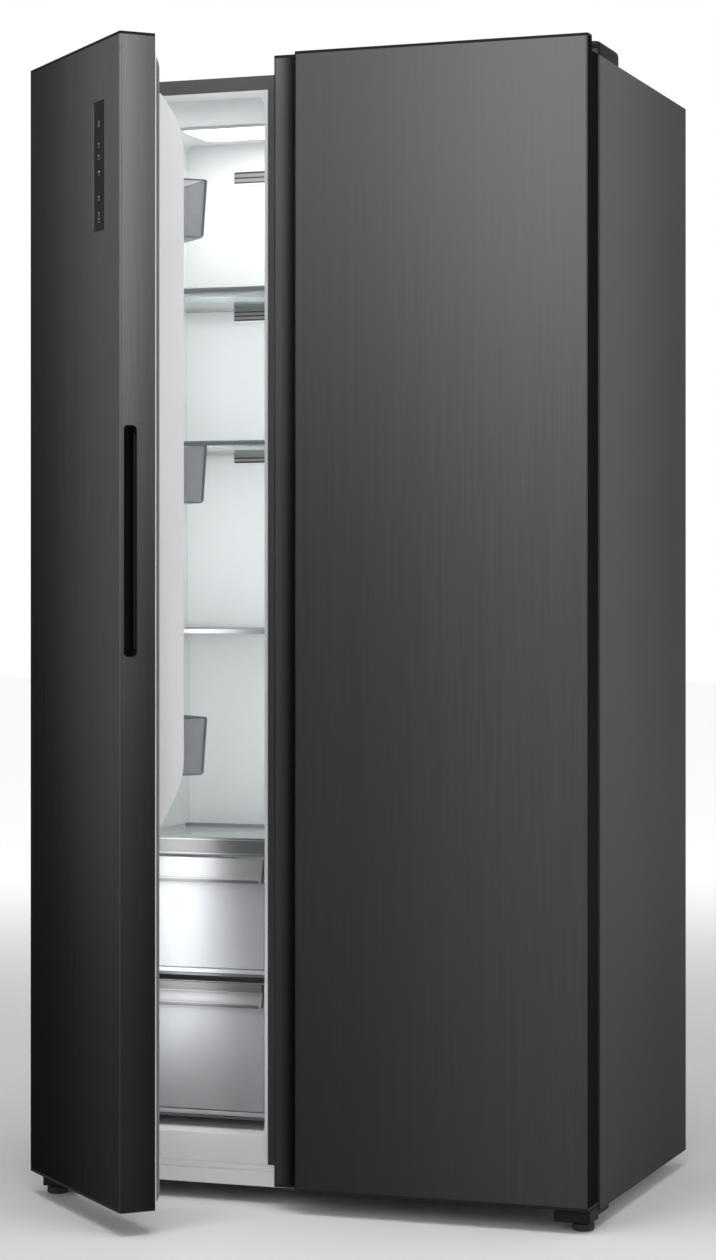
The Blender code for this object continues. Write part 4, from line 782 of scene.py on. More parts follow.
def frame_ring(bm, axis, outer, inner, radii, span):
    """A flat ring between a rounded outline and a rounded hole."""
    start, end = span
    edge = rounded_rectangle(*outer, radii[0], 6)
    hole = rounded_rectangle(*inner, radii[1], 6)
    part = bmesh.new()
    rings = [lift(edge, axis, start), lift(edge, axis, end), lift(hole, axis, end), lift(hole, axis, start)]
    loft(part, rings, closed=True)
    merge(bm, part)


def round_corners(points, radius, steps=5):
    """A closed outline with every corner turned into a curve."""
    out = []
    count = len(points)
    for k, point in enumerate(points):
        corner = Vector(point)
        before = Vector(points[k - 1]) - corner
        after = Vector(points[(k + 1) % count]) - corner
        reach = min(radius, before.length * 0.45, after.length * 0.45)
        a = corner + before.normalized() * reach
        b = corner + after.normalized() * reach
        for step in range(steps + 1):
            t = step / steps
            spot = a * (1 - t) ** 2 + corner * (2 * t * (1 - t)) + b * t**2
            out.append((spot.x, spot.y))
    return out


def solid(bm, outline, axis, start, end):
    """A closed outline pushed along an axis and added to the piece."""
    part = bmesh.new()
    prism(part, outline, axis, start, end)
    merge(bm, part)


# ---------------------------------------------------------------- doors


def door_sheets():
    """Finishes of the folded fronts, the end caps and the foam behind them."""
    dress("wide_door_steel", "fridge_door_skin")
    dress("narrow_door_steel", "freezer_door_skin")
    for side in SIDES:
        dress("black_moulding", f"{side}_door_top_cap", f"{side}_door_bottom_cap")
        dress("poured_foam", f"{side}_door_foam")


def handle_pocket(side):
    """The finger pocket in a door's free side, with rounded ends, and the steel edge round it."""
    leaf = Leaf(side)
    doors = settings().doors
    low, high = leaf.box(f"{side}_handle")
    mouth = high.x if leaf.out > 0 else low.x
    deep = low.x if leaf.out > 0 else high.x
    wall = doors.pocket_wall
    room = (grow((low.y, high.y), -wall), grow((low.z, high.z), -wall))
    outer = ((low.y, high.y), (low.z, high.z))
    radius = doors.pocket_radius
    skin = mouth - leaf.out * 0.001
    back = deep + leaf.out * wall
    inner = rounded_rectangle(*room, radius, 8)
    belly = rounded_rectangle(grow(room[0], -0.0012), grow(room[1], -0.0012), radius, 8)
    shell = rounded_rectangle(*outer, radius + wall, 8)
    rings = [lift(shell, "X", deep), lift(shell, "X", skin), lift(inner, "X", skin)]
    rings += [lift(inner, "X", back + leaf.out * 0.004), lift(belly, "X", back)]
    bm = bmesh.new()
    loft(bm, rings)
    node = f"{side}_handle"
    piece(f"{side}_finger_pocket", leaf.set_open(bm), "black_moulding", leaf.body, (node,))
    bm = bmesh.new()
    frame_ring(bm, "X", outer, room, (0.0004, radius), (skin, mouth))
    steel = "narrow_door_steel" if side == "freezer" else "wide_door_steel"
    piece(f"{side}_pocket_edge", leaf.set_open(bm), steel, leaf.body)
    bm = bmesh.new()
    grip = (room[0][1] - 0.0032, room[0][1] - 0.0004)
    block(bm, (skin - leaf.out * 0.0015, skin - leaf.out * 0.0075), grip, grow(room[1], -0.012), 0.0012, 3)
    piece(f"{side}_finger_grip", leaf.set_open(bm), "black_moulding", leaf.body)


def door_seal(side):
    """The soft seal round a door's back, with its bellows and its magnet strip."""
    leaf = Leaf(side)
    low, high = leaf.box(f"{side}_door_gasket")
    width = settings().doors.seal_width
    near, far = low.y, high.y
    depth = far - near
    section = [(0.0010, 0.0), (0.0, 0.12), (0.0, 0.26), (0.0016, 0.40)]
    section += [(0.0, 0.54), (0.0, 0.90), (0.0012, 1.0)]
    section += [(width - d, share) for d, share in reversed(section)]
    section.insert(7, (width * 0.30, 1.0))
    section.insert(8, (width * 0.34, 0.94))
    section.insert(9, (width * 0.66, 0.94))
    section.insert(10, (width * 0.70, 1.0))
    rings = []
    for inset, share in section:
        across, upright = grow((low.x, high.x), -inset), grow((low.z, high.z), -inset)
        flat = rounded_rectangle(across, upright, 0.024 - inset, 6)
        rings.append(lift(flat, "Y", near + depth * share))
    bm = bmesh.new()
    loft(bm, rings, closed=True)
    replaced = (f"{side}_door_gasket",)
    piece(f"{side}_seal", leaf.set_open(bm), "vapour_seal", leaf.body, replaced)


def door_lining(side):
    """The white inner panel of a door with the two rounded ridges that hold the bins."""
    leaf = Leaf(side)
    doors = settings().doors
    low, high = leaf.box(f"{side}_door_liner")
    back = leaf.box(f"{side}_door_gasket")[0].y - GAP
    front = back - LINER_WALL
    turned_back = leaf.turn.inverted()
    places = [turned_back @ vertex.co for vertex in NODES[f"{side}_door_liner"].data.vertices]
    heights = [place.z for place in places if place.y > back + RIB]
    bottom, top = min(heights), max(heights)
    bm = bmesh.new()
    solid(bm, rounded_rectangle((low.x, high.x), (low.z, high.z), 0.006, 5), "Y", front, back)
    bin_low, bin_high = leaf.box(f"{side}_bin_1")
    gap = doors.bin_gap
    ridge = doors.ridge_width
    shoulder = back + doors.ridge_shoulder
    profile = [
        (back - 0.001, bottom),
        (shoulder, bottom),
        (high.y, bottom + doors.ridge_slants[1]),
        (high.y, top - doors.ridge_slants[0]),
        (shoulder, top),
        (back - 0.001, top),
    ]
    outline = round_corners(profile, 0.030, 8)
    for start, way in ((bin_low.x - gap, -1), (bin_high.x + gap, 1)):
        part = bmesh.new()
        middle_y = (back + high.y) / 2
        middle_z = (bottom + top) / 2
        rings = []
        for across, inset in ((0.0, 0.0040), (0.0012, 0.0012), (0.0040, 0.0), (ridge - 0.0045, 0.0)):
            rings.append((across, inset))
        rings += [(ridge - 0.0014, 0.0012), (ridge, 0.0044)]
        skins = []
        for across, inset in rings:
            ring = []
            for y, z in outline:
                pull_y = y - inset if y > middle_y - 0.02 else y
                pull_z = z - math.copysign(min(inset, abs(z - middle_z)), z - middle_z)
                ring.append((start + way * across, pull_y, pull_z))
            skins.append(ring)
        loft(part, skins)
        merge(bm, part)
    for index in range(3):
        floor = leaf.box(f"{side}_bin_{index + 1}")[0].z
        for edge, way in ((bin_low.x - gap, 1), (bin_high.x + gap, -1)):
            across = (edge - way * 0.002, edge + way * (gap + LINER_WALL))
            depth = (back - 0.001, back + doors.ledge_depth)
            block(bm, across, depth, (floor - GAP - doors.ledge_height, floor - GAP), 0.0015, 2)
    foam_low, foam_high = leaf.box(f"{side}_door_foam")
    flange = bmesh.new()
    outer = ((foam_low.x, foam_high.x), (foam_low.z, foam_high.z))
    hole = (grow((low.x, high.x), -0.0020), grow((low.z, high.z), -0.0020))
    frame_ring(flange, "Y", outer, hole, (0.001, 0.006), (foam_high.y - 0.0002, foam_high.y + 0.0005))
    piece(f"{side}_door_flange", leaf.set_open(flange), "rail_paint", leaf.body)
    replaced = (f"{side}_door_liner",)
    piece(f"{side}_lining", leaf.set_open(bm), "white_moulding", leaf.body, replaced)


def door_bins(side):
    """The clear bins of a door, with rolled rims and a moulded foot."""
    leaf = Leaf(side)
    doors = settings().doors
    for index in range(3):
        name = f"{side}_bin_{index + 1}"
        low, high = leaf.box(name)
        bm = bmesh.new()
        span = ((low.x, high.x), (low.y, high.y))
        tub(bm, *span, (low.z, high.z), doors.bin_wall, doors.bin_radius, 0.0045, 0.0008)
        piece(f"{name}_moulding", leaf.set_open(bm), "bin_clear", leaf.body, (name,))
        bm = bmesh.new()
        edge = (grow(span[0], 0.0004), grow(span[1], 0.0))
        hole = (grow(span[0], -0.0026), grow(span[1], -0.0026))
        rim = (high.z - 0.0016, high.z + 0.0003)
        frame_ring(bm, "Z", edge, hole, (doors.bin_radius, doors.bin_radius - 0.002), rim)
        corner = high.y - 0.0030
        for x_edge, way in ((low.x, 1), (high.x, -1)):
            foot = x_edge + way * 0.0045
            head = x_edge + way * 0.0004
            section = [(0.0, 0.0), (0.0016, 0.0), (0.0016, 0.0042), (0.0, 0.0042)]
            part = bmesh.new()
            ends = ((foot, corner - 0.0060, low.z + 0.003), (head, corner - 0.0016, high.z - 0.0012))
            loft(part, [[(x + way * a, y + b, z) for a, b in section] for x, y, z in ends])
            merge(bm, part)
        foot_edge = (grow(span[0], -0.0062), grow(span[1], -0.0062))
        foot_hole = (grow(span[0], -0.0090), grow(span[1], -0.0090))
        base = (low.z - 0.0001, low.z + 0.0016)
        frame_ring(bm, "Z", foot_edge, foot_hole, (doors.bin_radius, 0.004), base)
        trim = f"{name}_rim"
        piece(trim, leaf.set_open(bm), "smoked_rim", leaf.body, (), 0.0007)


def control_window():
    """The smoked control window, its pale edge and its small signs."""
    leaf = Leaf("freezer")
    low, high = leaf.box("control_panel")
    face = low.y
    bm = bmesh.new()
    window = rounded_rectangle((low.x, high.x), (low.z, high.z), 0.0016, 4)
    solid(bm, window, "Y", face, high.y)
    body = leaf.body
    piece("control_glass", leaf.set_open(bm), "smoked_panel", body, ("control_panel",), 0.0004)
    bm = bmesh.new()
    proud = (face - 0.00012, face + 0.0002)
    block(bm, (low.x + 0.0005, low.x + 0.0013), proud, (low.z + 0.002, high.z - 0.002))
    centre = (low.x + high.x) / 2
    top = high.z
    marks = settings().doors
    size = marks.sign_size
    for drop in (0.0642, 0.0823, 0.1063, 0.1438, 0.1679, 0.1769):
        ring = bmesh.new()
        turned(ring, [(size * 0.40, proud[0]), (size * 0.40, proud[1])], (centre, 0.0, top - drop), "Y", 16)
        merge(bm, ring)
        bar_z = top - drop - size * 0.95
        block(bm, (centre - size * 0.8, centre + size * 0.8), proud, (bar_z - 0.0004, bar_z + 0.0004))
    for shift in (-1, 1):
        spot = (centre, top - 0.0342 + shift * size * 0.55)
        outer = (grow((spot[0], spot[0]), size * 0.62), grow((spot[1], spot[1]), size * 0.5))
        hole = (grow(outer[0], -0.0009), grow(outer[1], -0.0009))
        frame_ring(bm, "Y", outer, hole, (size * 0.5, size * 0.4), proud)
    piece("control_signs", leaf.set_open(bm), "panel_mark", body)
    bm = bmesh.new()
    turned(bm, [(0.0011, proud[0]), (0.0011, proud[1])], (centre, 0.0, top - 0.1063), "Y", 16)
    piece("control_lamp", leaf.set_open(bm), "panel_lit", body)


# ---------------------------------------------------------------- compartments


def lining(side):
    """One moulded compartment: rounded walls, a soft mouth, the step at its lower back and its ribs."""
    room = inside_of(side)
    inside = settings().inside
    x, z = room["x"], room["z"]
    mouth, back = room["y"]
    flange = mouth + LINER_WALL
    radius = inside.corner_radius
    step_z, step_y = room["step_z"], room["step_y"]

    def section(depth, inset, floor, corner=radius):
        flat = rounded_rectangle(grow(x, -inset), (floor + inset, z[1] - inset), corner, 6)
        return lift(flat, "Y", depth)

    wall = -LINER_WALL
    rings = [
        section(back + LINER_WALL, wall, step_z),
        section(step_y + LINER_WALL, wall, step_z),
        section(step_y + LINER_WALL, wall, z[0]),
        section(flange, wall, z[0]),
        lift(rounded_rectangle(grow(x, LINER_LIP), room["flange_z"], 0.0005, 6), "Y", flange),
        lift(rounded_rectangle(grow(x, LINER_LIP), room["flange_z"], 0.0005, 6), "Y", mouth),
        section(mouth, -0.0032, z[0]),
        section(mouth + 0.0009, -0.0009, z[0]),
        section(mouth + 0.0032, 0.0, z[0]),
        section(step_y - 0.006, 0.0, z[0]),
        section(step_y - 0.0018, 0.0, z[0] + 0.0018),
        section(step_y, 0.0, z[0] + 0.006),
        section(step_y, 0.0, step_z - 0.006),
        section(step_y + 0.0018, 0.0, step_z - 0.0018),
        section(step_y + 0.006, 0.0, step_z),
        section(back - radius, 0.0, step_z),
        section(back - radius * 0.3, radius * 0.3, step_z),
        section(back, radius, step_z, radius * 0.6),
    ]
    bm = bmesh.new()
    loft(bm, rings)
    for top, front, end in rib_rows(side):
        for edge, way in ((x[0], 1), (x[1], -1)):
            across = (edge - way * 0.001, edge + way * RIB)
            block(bm, across, (front, end), (top - RIB, top), 0.0018, 2)
    replaced = (f"{side}_liner",)
    piece(f"{side}_lining_shell", bm, "white_moulding", CABINET, replaced)


def rib_rows(side):
    """(top, front, back) of the ribs under the shelves, the cover and the drawers."""
    shelves = [f"{side}_shelf_{n}" for n in range(1, 4) if f"{side}_shelf_{n}" in NODES]
    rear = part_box("freezer_back_cover")[0].y - RIB_BACK
    rows = []
    for name in shelves:
        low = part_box(name)[0]
        rows.append((low.z - GAP, low.y + RIB_SETBACK, rear))
    cover = "freezer_drawer_cover" if side == "freezer" else "crisper_cover"
    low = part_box(cover)[0]
    rows.append((low.z + settings().inside.plate_rise - GAP, low.y + RIB_SETBACK, rear))
    drawers = {"freezer": ("freezer_drawer_upper", "freezer_drawer_lower"), "fridge": ("crisper_drawer",)}
    for name in drawers[side]:
        low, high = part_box(name)
        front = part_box("freezer_drawer_upper")[0].y + RIB_SETBACK
        rows.append((high.z - settings().inside.runner_drop - GAP, front, high.y - 0.014))
    return rows


def glass_shelf(node):
    """A glass plate with a moulded front edge and a bright strip at its back."""
    inside = settings().inside
    low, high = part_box(node)
    plate_top = low.z + inside.glass_thickness
    lip = low.y + inside.shelf_lip
    bm = bmesh.new()
    block(bm, (low.x + 0.002, high.x - 0.002), (lip - 0.004, high.y - 0.006), (low.z, plate_top), 0.0006, 2)
    piece(f"{node}_plate", bm, "shelf_glass", CABINET, (node,))
    bm = bmesh.new()
    profile = [
        (low.y, low.z),
        (lip + 0.004, low.z),
        (lip + 0.004, low.z + 0.0008),
        (lip, low.z + 0.0020),
        (lip, high.z - 0.001),
        (low.y + 0.003, high.z),
        (low.y, high.z - 0.001),
    ]
    solid(bm, round_corners(profile, 0.0012, 3), "X", low.x, high.x)
    piece(f"{node}_front_edge", bm, "shelf_trim", CABINET)
    bm = bmesh.new()
    block(bm, (low.x, high.x), (high.y - 0.010, high.y), (low.z, high.z - 0.001), 0.0012, 2)
    piece(f"{node}_rear_strip", bm, "silver_grip", CABINET)


def drawer_lid(node):
    """The glass lid over the drawers with its deep front band."""
    inside = settings().inside
    low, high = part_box(node)
    plate = (low.z + inside.plate_rise, low.z + inside.plate_rise + inside.glass_thickness)
    band = low.y + inside.band_depth
    bm = bmesh.new()
    block(bm, (low.x + 0.002, high.x - 0.002), (band - 0.004, high.y - 0.006), plate, 0.0006, 2)
    piece(f"{node}_plate", bm, "shelf_glass", CABINET, (node,))
    bm = bmesh.new()
    profile = [
        (low.y + 0.0015, low.z),
        (band, low.z),
        (band, high.z),
        (low.y + 0.0015, high.z),
        (low.y, high.z - 0.0050),
        (low.y, low.z + 0.0050),
    ]
    solid(bm, round_corners(profile, 0.0014, 3), "X", low.x, high.x)
    piece(f"{node}_band", bm, "band_grey", CABINET)
    bm = bmesh.new()
    for height in (low.z + 0.0030, high.z - 0.0030):
        across, deep = (low.x + 0.001, high.x - 0.001), (low.y - 0.0003, low.y + 0.001)
        block(bm, across, deep, grow((height,), 0.0008), 0.0003, 1)
    piece(f"{node}_lines", bm, "silver_grip", CABINET)
    bm = bmesh.new()
    block(bm, (low.x, high.x), (high.y - 0.010, high.y), grow(plate, 0.001), 0.0012, 2)
    piece(f"{node}_rear_strip", bm, "silver_grip", CABINET)


def drawer(node, body):
    """A frosted drawer: its tub, its runners and its smoky front."""
    inside = settings().inside
    low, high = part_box(node)
    side_gap = inside.runner_reach
    x = (low.x + side_gap, high.x - side_gap)
    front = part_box("freezer_drawer_upper")[0].y
    bm = bmesh.new()
    tub(bm, x, (front, high.y), (low.z, high.z), inside.drawer_wall, 0.014, 0.003, 0.0012)
    runner = (high.z - inside.runner_drop, high.z - inside.runner_drop + 0.004)
    for edge, way in ((x[0], -1), (x[1], 1)):
        across = (edge - way * 0.001, edge + way * side_gap)
        block(bm, across, (front + 0.016, high.y - 0.016), runner, 0.0012, 2)
    piece(f"{node}_tub", bm, "frosted_drawer", body, (node,))
    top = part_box(f"{node}_handle")[0].z if f"{node}_handle" in NODES else high.z - 0.010
    bm = bmesh.new()
    face = rounded_rectangle(grow(x, -0.002), (low.z + 0.014, top + 0.004), 0.005, 5)
    solid(bm, face, "Y", front - 0.0030, front + 0.0005)
    piece(f"{node}_face", bm, "drawer_face", body, (), 0.0010)
    bm = bmesh.new()
    block(bm, grow(x, -0.001), (front - 0.0036, front + 0.001), (low.z + 0.0055, low.z + 0.0125), 0.0018, 3)
    piece(f"{node}_foot_trim", bm, "trim_grey", body)
    # Painted shadow: a dark strip along the foot of the front stands in for the shadow line under the drawer.
    bm = bmesh.new()
    block(bm, grow(x, -0.001), (front - 0.0032, front + 0.001), (low.z + 0.0010, low.z + 0.0052), 0.0010, 2)
    piece(f"{node}_foot_painted_shadow", bm, "smoked_rim", body)
    if "lower" in node:
        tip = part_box(f"{node}_handle")
        bm = bmesh.new()
        band = (tip[1].z - inside.pull_band, tip[1].z - 0.0003)
        block(bm, (tip[0].x, tip[1].x), (tip[0].y + 0.0004, front - 0.0004), band, 0.0012, 3)
        piece(f"{node}_top_band", bm, "band_grey", body)
        bm = bmesh.new()
        block(bm, (tip[0].x, tip[1].x), (tip[0].y, tip[0].y + 0.002), grow((band[0],), 0.0007), 0.0003, 1)
        piece(f"{node}_top_line", bm, "silver_grip", body)
    if f"{node}_handle" not in NODES:
        bm = bmesh.new()
        pull = (low.y, front - 0.0005)
        block(bm, grow(x, -0.004), pull, (high.z - 0.0065, high.z - 0.0005), 0.0024, 4)
        piece(f"{node}_pull", bm, "silver_grip", body)


def drawer_pull(node, body):
    """The scooped silver pull across a drawer's front, with a dark strip of painted shadow under it."""
    low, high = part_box(node)
    rim = 0.0022
    steps = 14
    reach = high.y - low.y
    outline = [(high.y, high.z), (high.y - rim, high.z)]
    for k in range(steps + 1):
        angle = math.pi / 2 * k / steps
        y = high.y - rim - (reach - rim) * (1 - math.cos(angle)) ** 0.85
        outline.append((y, high.z - 0.0006 - (high.z - low.z - 3 * rim) * math.sin(angle)))
    outline += [(low.y, low.z + 0.001), (low.y + 0.001, low.z), (low.y + 0.0034, low.z)]
    outline += [(high.y, high.z - (high.z - low.z) * 0.55)]
    bm = bmesh.new()
    solid(bm, outline, "X", low.x, high.x)
    for edge, way in ((low.x, 1), (high.x, -1)):
        corners = [(low.y, low.z), (high.y, low.z), (high.y, high.z), (low.y + 0.004, high.z - 0.004)]
        solid(bm, round_corners(corners, 0.004), "X", edge, edge + way * 0.0035)
    piece(f"{node}_scoop", bm, "silver_grip", body, (node,), 0.0005)
    # Painted shadow: a dark grey strip along the bottom of the scoop stands in for the shade below the pull.
    bm = bmesh.new()
    across, deep = grow((low.x, high.x), -0.0040), (low.y - 0.0001, low.y + 0.0020)
    block(bm, across, deep, (low.z, low.z + 0.0052), 0.0008, 2)
    piece(f"{node}_lip", bm, "band_grey", body)


def vents():
    """The freezer's back cover: its finish, a frame round each air slot, the louvres and grey plates of
    painted shade for the dark behind them.
    """
    dress("white_moulding", "freezer_back_cover")
    low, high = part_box("freezer_back_cover")
    inside = settings().inside
    centre = (low.x + high.x) / 2
    across = (centre - inside.vent_width / 2, centre + inside.vent_width / 2)
    top = high.z
    face = low.y
    frames = bmesh.new()
    for first, last in AIR_SLOTS:
        span = (top - last - 0.0085, top - first + 0.0085)
        outer = (grow(across, 0.006), span)
        hole = (grow(across, 0.001), (span[0] + 0.0042, span[1] - 0.0042))
        frame_ring(frames, "Y", outer, hole, (0.005, 0.003), (face - 0.0022, face + 0.0008))
    piece("vent_frames", frames, "white_moulding", CABINET, (), 0.0006)
    # Painted shade: a grey plate in each slot stands in for the dark of the duct behind the louvres.
    painted_shade_plates = bmesh.new()
    for first, last in AIR_SLOTS:
        span = (top - last - 0.0030, top - first + 0.0030)
        block(painted_shade_plates, grow(across, 0.0008), (face - 0.0004, face + 0.0006), span, 0.0002, 1)
    piece("vent_painted_shade", painted_shade_plates, "vent_grey", CABINET)
    slat = bmesh.new()
    block(slat, (0.0, across[1] - across[0] + 0.002), (-0.0012, 0.0012), (-0.0011, 0.0011), 0.0007, 2)
    bmesh.ops.rotate(slat, cent=(0, 0, 0), matrix=Matrix.Rotation(0.6, 3, "X"), verts=slat.verts)
    groups = []
    for first, last in AIR_SLOTS:
        span = (top - last - 0.0030, top - first + 0.0030)
        count = max(2, round((span[1] - span[0]) / inside.louvre_pitch))
        step = (span[1] - span[0]) / (count - 1)
        groups.append((count, (across[0] - 0.001, face - 0.0004, span[0]), (0.0, 0.0, step)))
    louvres = bmesh.new()
    for index, (count, start, step) in enumerate(groups):
        merge(louvres, row(f"louvres_{index}", slat.copy(), count, start, step, "dark_slat"))
    slat.free()
    piece("vent_louvres", louvres, "dark_slat", CABINET)


def lamps():
    """The lit lenses under the ceilings with their white surrounds."""
    for side in SIDES:
        low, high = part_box(f"{side}_light")
        bm = bmesh.new()
        lens = rounded_rectangle((low.x, high.x), (low.y, high.y), 0.012, 6)
        inner = rounded_rectangle(grow((low.x, high.x), -0.004), grow((low.y, high.y), -0.004), 0.010, 6)
        loft(bm, [lift(lens, "Z", high.z), lift(lens, "Z", low.z + 0.0025), lift(inner, "Z", low.z)])
        piece(f"{side}_lamp_lens", bm, "lamp_lens", CABINET, (f"{side}_light",))
        bm = bmesh.new()
        outer = (grow((low.x, high.x), 0.006), grow((low.y, high.y), 0.006))
        hole = (grow((low.x, high.x), 0.0003), grow((low.y, high.y), 0.0003))
        frame_ring(bm, "Z", outer, hole, (0.017, 0.012), (high.z - 0.0042, high.z))
        piece(f"{side}_lamp_frame", bm, "white_moulding", CABINET, (), 0.0008)


def air_duct():
    """The column that spreads cold air up the fridge's back wall."""
    low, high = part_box("fridge_air_duct")
    bm = bmesh.new()
    outline = rounded_rectangle((low.x, high.x), (low.z, high.z), 0.012, 6)
    crown = rounded_rectangle(grow((low.x, high.x), -0.008), grow((low.z, high.z), -0.008), 0.008, 6)
    loft(bm, [lift(outline, "Y", high.y), lift(outline, "Y", low.y + 0.006), lift(crown, "Y", low.y)])
    body = CABINET
    piece("fridge_duct_cover", bm, "white_moulding", body, ("fridge_air_duct",))
    slat = bmesh.new()
    block(slat, grow((0.0,), (high.x - low.x) * 0.30), (-0.0009, 0.0009), (-0.0016, 0.0016), 0.0008, 2)
    louvres = bmesh.new()
    rise = (high.z - low.z) / 5
    for k in range(4):
        start = ((low.x + high.x) / 2, low.y - 0.0003, low.z + rise * (k + 1) - 0.012)
        merge(louvres, row(f"duct_louvres_{k}", slat.copy(), 4, start, (0.0, 0.0, 0.008), "dark_slat"))
    slat.free()
    piece("fridge_duct_louvres", louvres, "dark_slat", body)


def cooling():
    """The finned coil with its pipe, and the blower in front of it."""
    dress("mill_aluminium", "evaporator")
    low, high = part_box("evaporator")
    rows = 6
    pitch = (high.z - low.z) / rows
    reach = 0.011
    path = []
    for k in range(rows):
        z = low.z + pitch * (k + 0.5)
        ends = (low.x - reach, high.x + reach)
        ends = ends if k % 2 == 0 else ends[::-1]
        way = 1 if k % 2 == 0 else -1
        path += [(ends[0], low.y + 0.014, z), (ends[1], low.y + 0.014, z)]
        if k < rows - 1:
            for step in range(1, 6):
                angle = math.pi * step / 6
                swell = math.sin(angle) * pitch / 2 * 0.35
                path.append((ends[1] + way * swell, low.y + 0.014, z + pitch * (1 - math.cos(angle)) / 2))
    bm = bead("coil_pipe", path, 0.0035, "mill_aluminium", 8)
    piece("evaporator_pipe", bm, "mill_aluminium", CABINET)
    low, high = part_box("evaporator_fan")
    centre = (low + high) / 2
    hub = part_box("evaporator_fan")[1].y - centre.y
    blade = bmesh.new()
    rings = []
    for share in (0.0, 0.25, 0.5, 0.75, 1.0):
        reach = 0.012 + 0.037 * share
        half = 0.008 + 0.006 * math.sin(math.pi * (0.2 + 0.6 * share))
        lean = math.radians(34 - 12 * share)
        ring = []
        for a, b in ((-half, -0.0007), (half, -0.0007), (half, 0.0007), (-half, 0.0007)):
            across = a * math.cos(lean) - b * math.sin(lean)
            rise = (a * math.sin(lean) + b * math.cos(lean)) * 0.62
            ring.append((reach, across + 0.004 * share, rise))
        rings.append(ring)
    loft(blade, rings)
    blades = grown("fan_blades", blade, "wheel", {"Count": 5}, "black_moulding")
    profile = [(0.0036, hub), (0.012, hub), (0.0155, hub - 0.003), (0.0158, -hub), (0.0036, -hub)]
    hub_part = bmesh.new()
    rings = [[(r * math.cos(t), r * math.sin(t), h) for t in turns(28)] for r, h in profile]
    loft(hub_part, rings, closed=True)
    merge(blades, hub_part)
    place = Matrix.Translation(centre) @ Matrix.Rotation(math.pi / 2, 4, "X")
    bmesh.ops.transform(blades, matrix=place, verts=blades.verts)
    piece("fan_wheel", blades, "black_moulding", "fan", ("evaporator_fan",))


def turns(count):
    return [2 * math.pi * k / count for k in range(count)]


# ---------------------------------------------------------------- cabinet outside


def cabinet_sheets():
    """Finishes of the wrap, the frame, the rear sheet, the base and the foam."""
    dress("case_paint", "outer_case")
    dress("rail_paint", "center_rail")
    dress("zinc_sheet", "back_panel", "base_plate")
    dress("poured_foam", "insulation_foam")
    low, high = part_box("lower_front_panel")
    bm = bmesh.new()
    profile = [
        (high.y, low.z),
        (low.y, low.z),
        (low.y, high.z - 0.0135),
        (low.y + 0.0012, high.z - 0.0120),
        (low.y + 0.0012, high.z - 0.0105),
        (low.y, high.z - 0.0090),
        (low.y, high.z),
        (high.y, high.z),
    ]
    solid(bm, profile, "X", low.x, high.x)
    replaced = ("lower_front_panel",)
    piece("kick_panel", bm, "white_moulding", CABINET, replaced, 0.0003)


def hinges():
    """Hinge plates, their lids and their screws, and the brackets under the doors."""
    for side in SIDES:
        dress("screw_steel", f"{side}_top_hinge")
        dress("black_moulding", f"{side}_bottom_hinge")
        low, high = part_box(f"{side}_hinge_cover")
        leaf = Leaf(side)
        bm = bmesh.new()
        levels = ((0.0, low.z), (0.0, high.z - 0.009), (0.0012, high.z - 0.004), (0.004, high.z - 0.0011))
        rings = []
        for inset, z in (*levels, (0.009, high.z)):
            flat = rounded_rectangle(grow((low.x, high.x), -inset), grow((low.y, high.y), -inset), 0.008, 6)
            rings.append(lift(flat, "Z", z))
        loft(bm, rings)
        replaced = (f"{side}_hinge_cover",)
        piece(f"{side}_hinge_lid", bm, "black_moulding", CABINET, replaced)
        head = screw("Z", 1)
        centre = ((low.x + high.x) / 2, low.y + 0.035, high.z - 0.0014)
        bm = row(f"{side}_lid_screws", head, 2, centre, (0.0, 0.050, 0.0), "screw_steel")
        piece(f"{side}_lid_screw_heads", bm, "screw_steel", CABINET)
        low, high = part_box(f"{side}_bottom_hinge")
        start = ((low.x + high.x) / 2 - leaf.out * 0.010, high.y - 0.014, low.z + 0.0052)
        bm = row(f"{side}_bracket_screws", screw("Z", -1), 2, start, (0.0, -0.020, 0.0), "screw_steel")
        piece(f"{side}_bracket_screw_heads", bm, "screw_steel", CABINET)


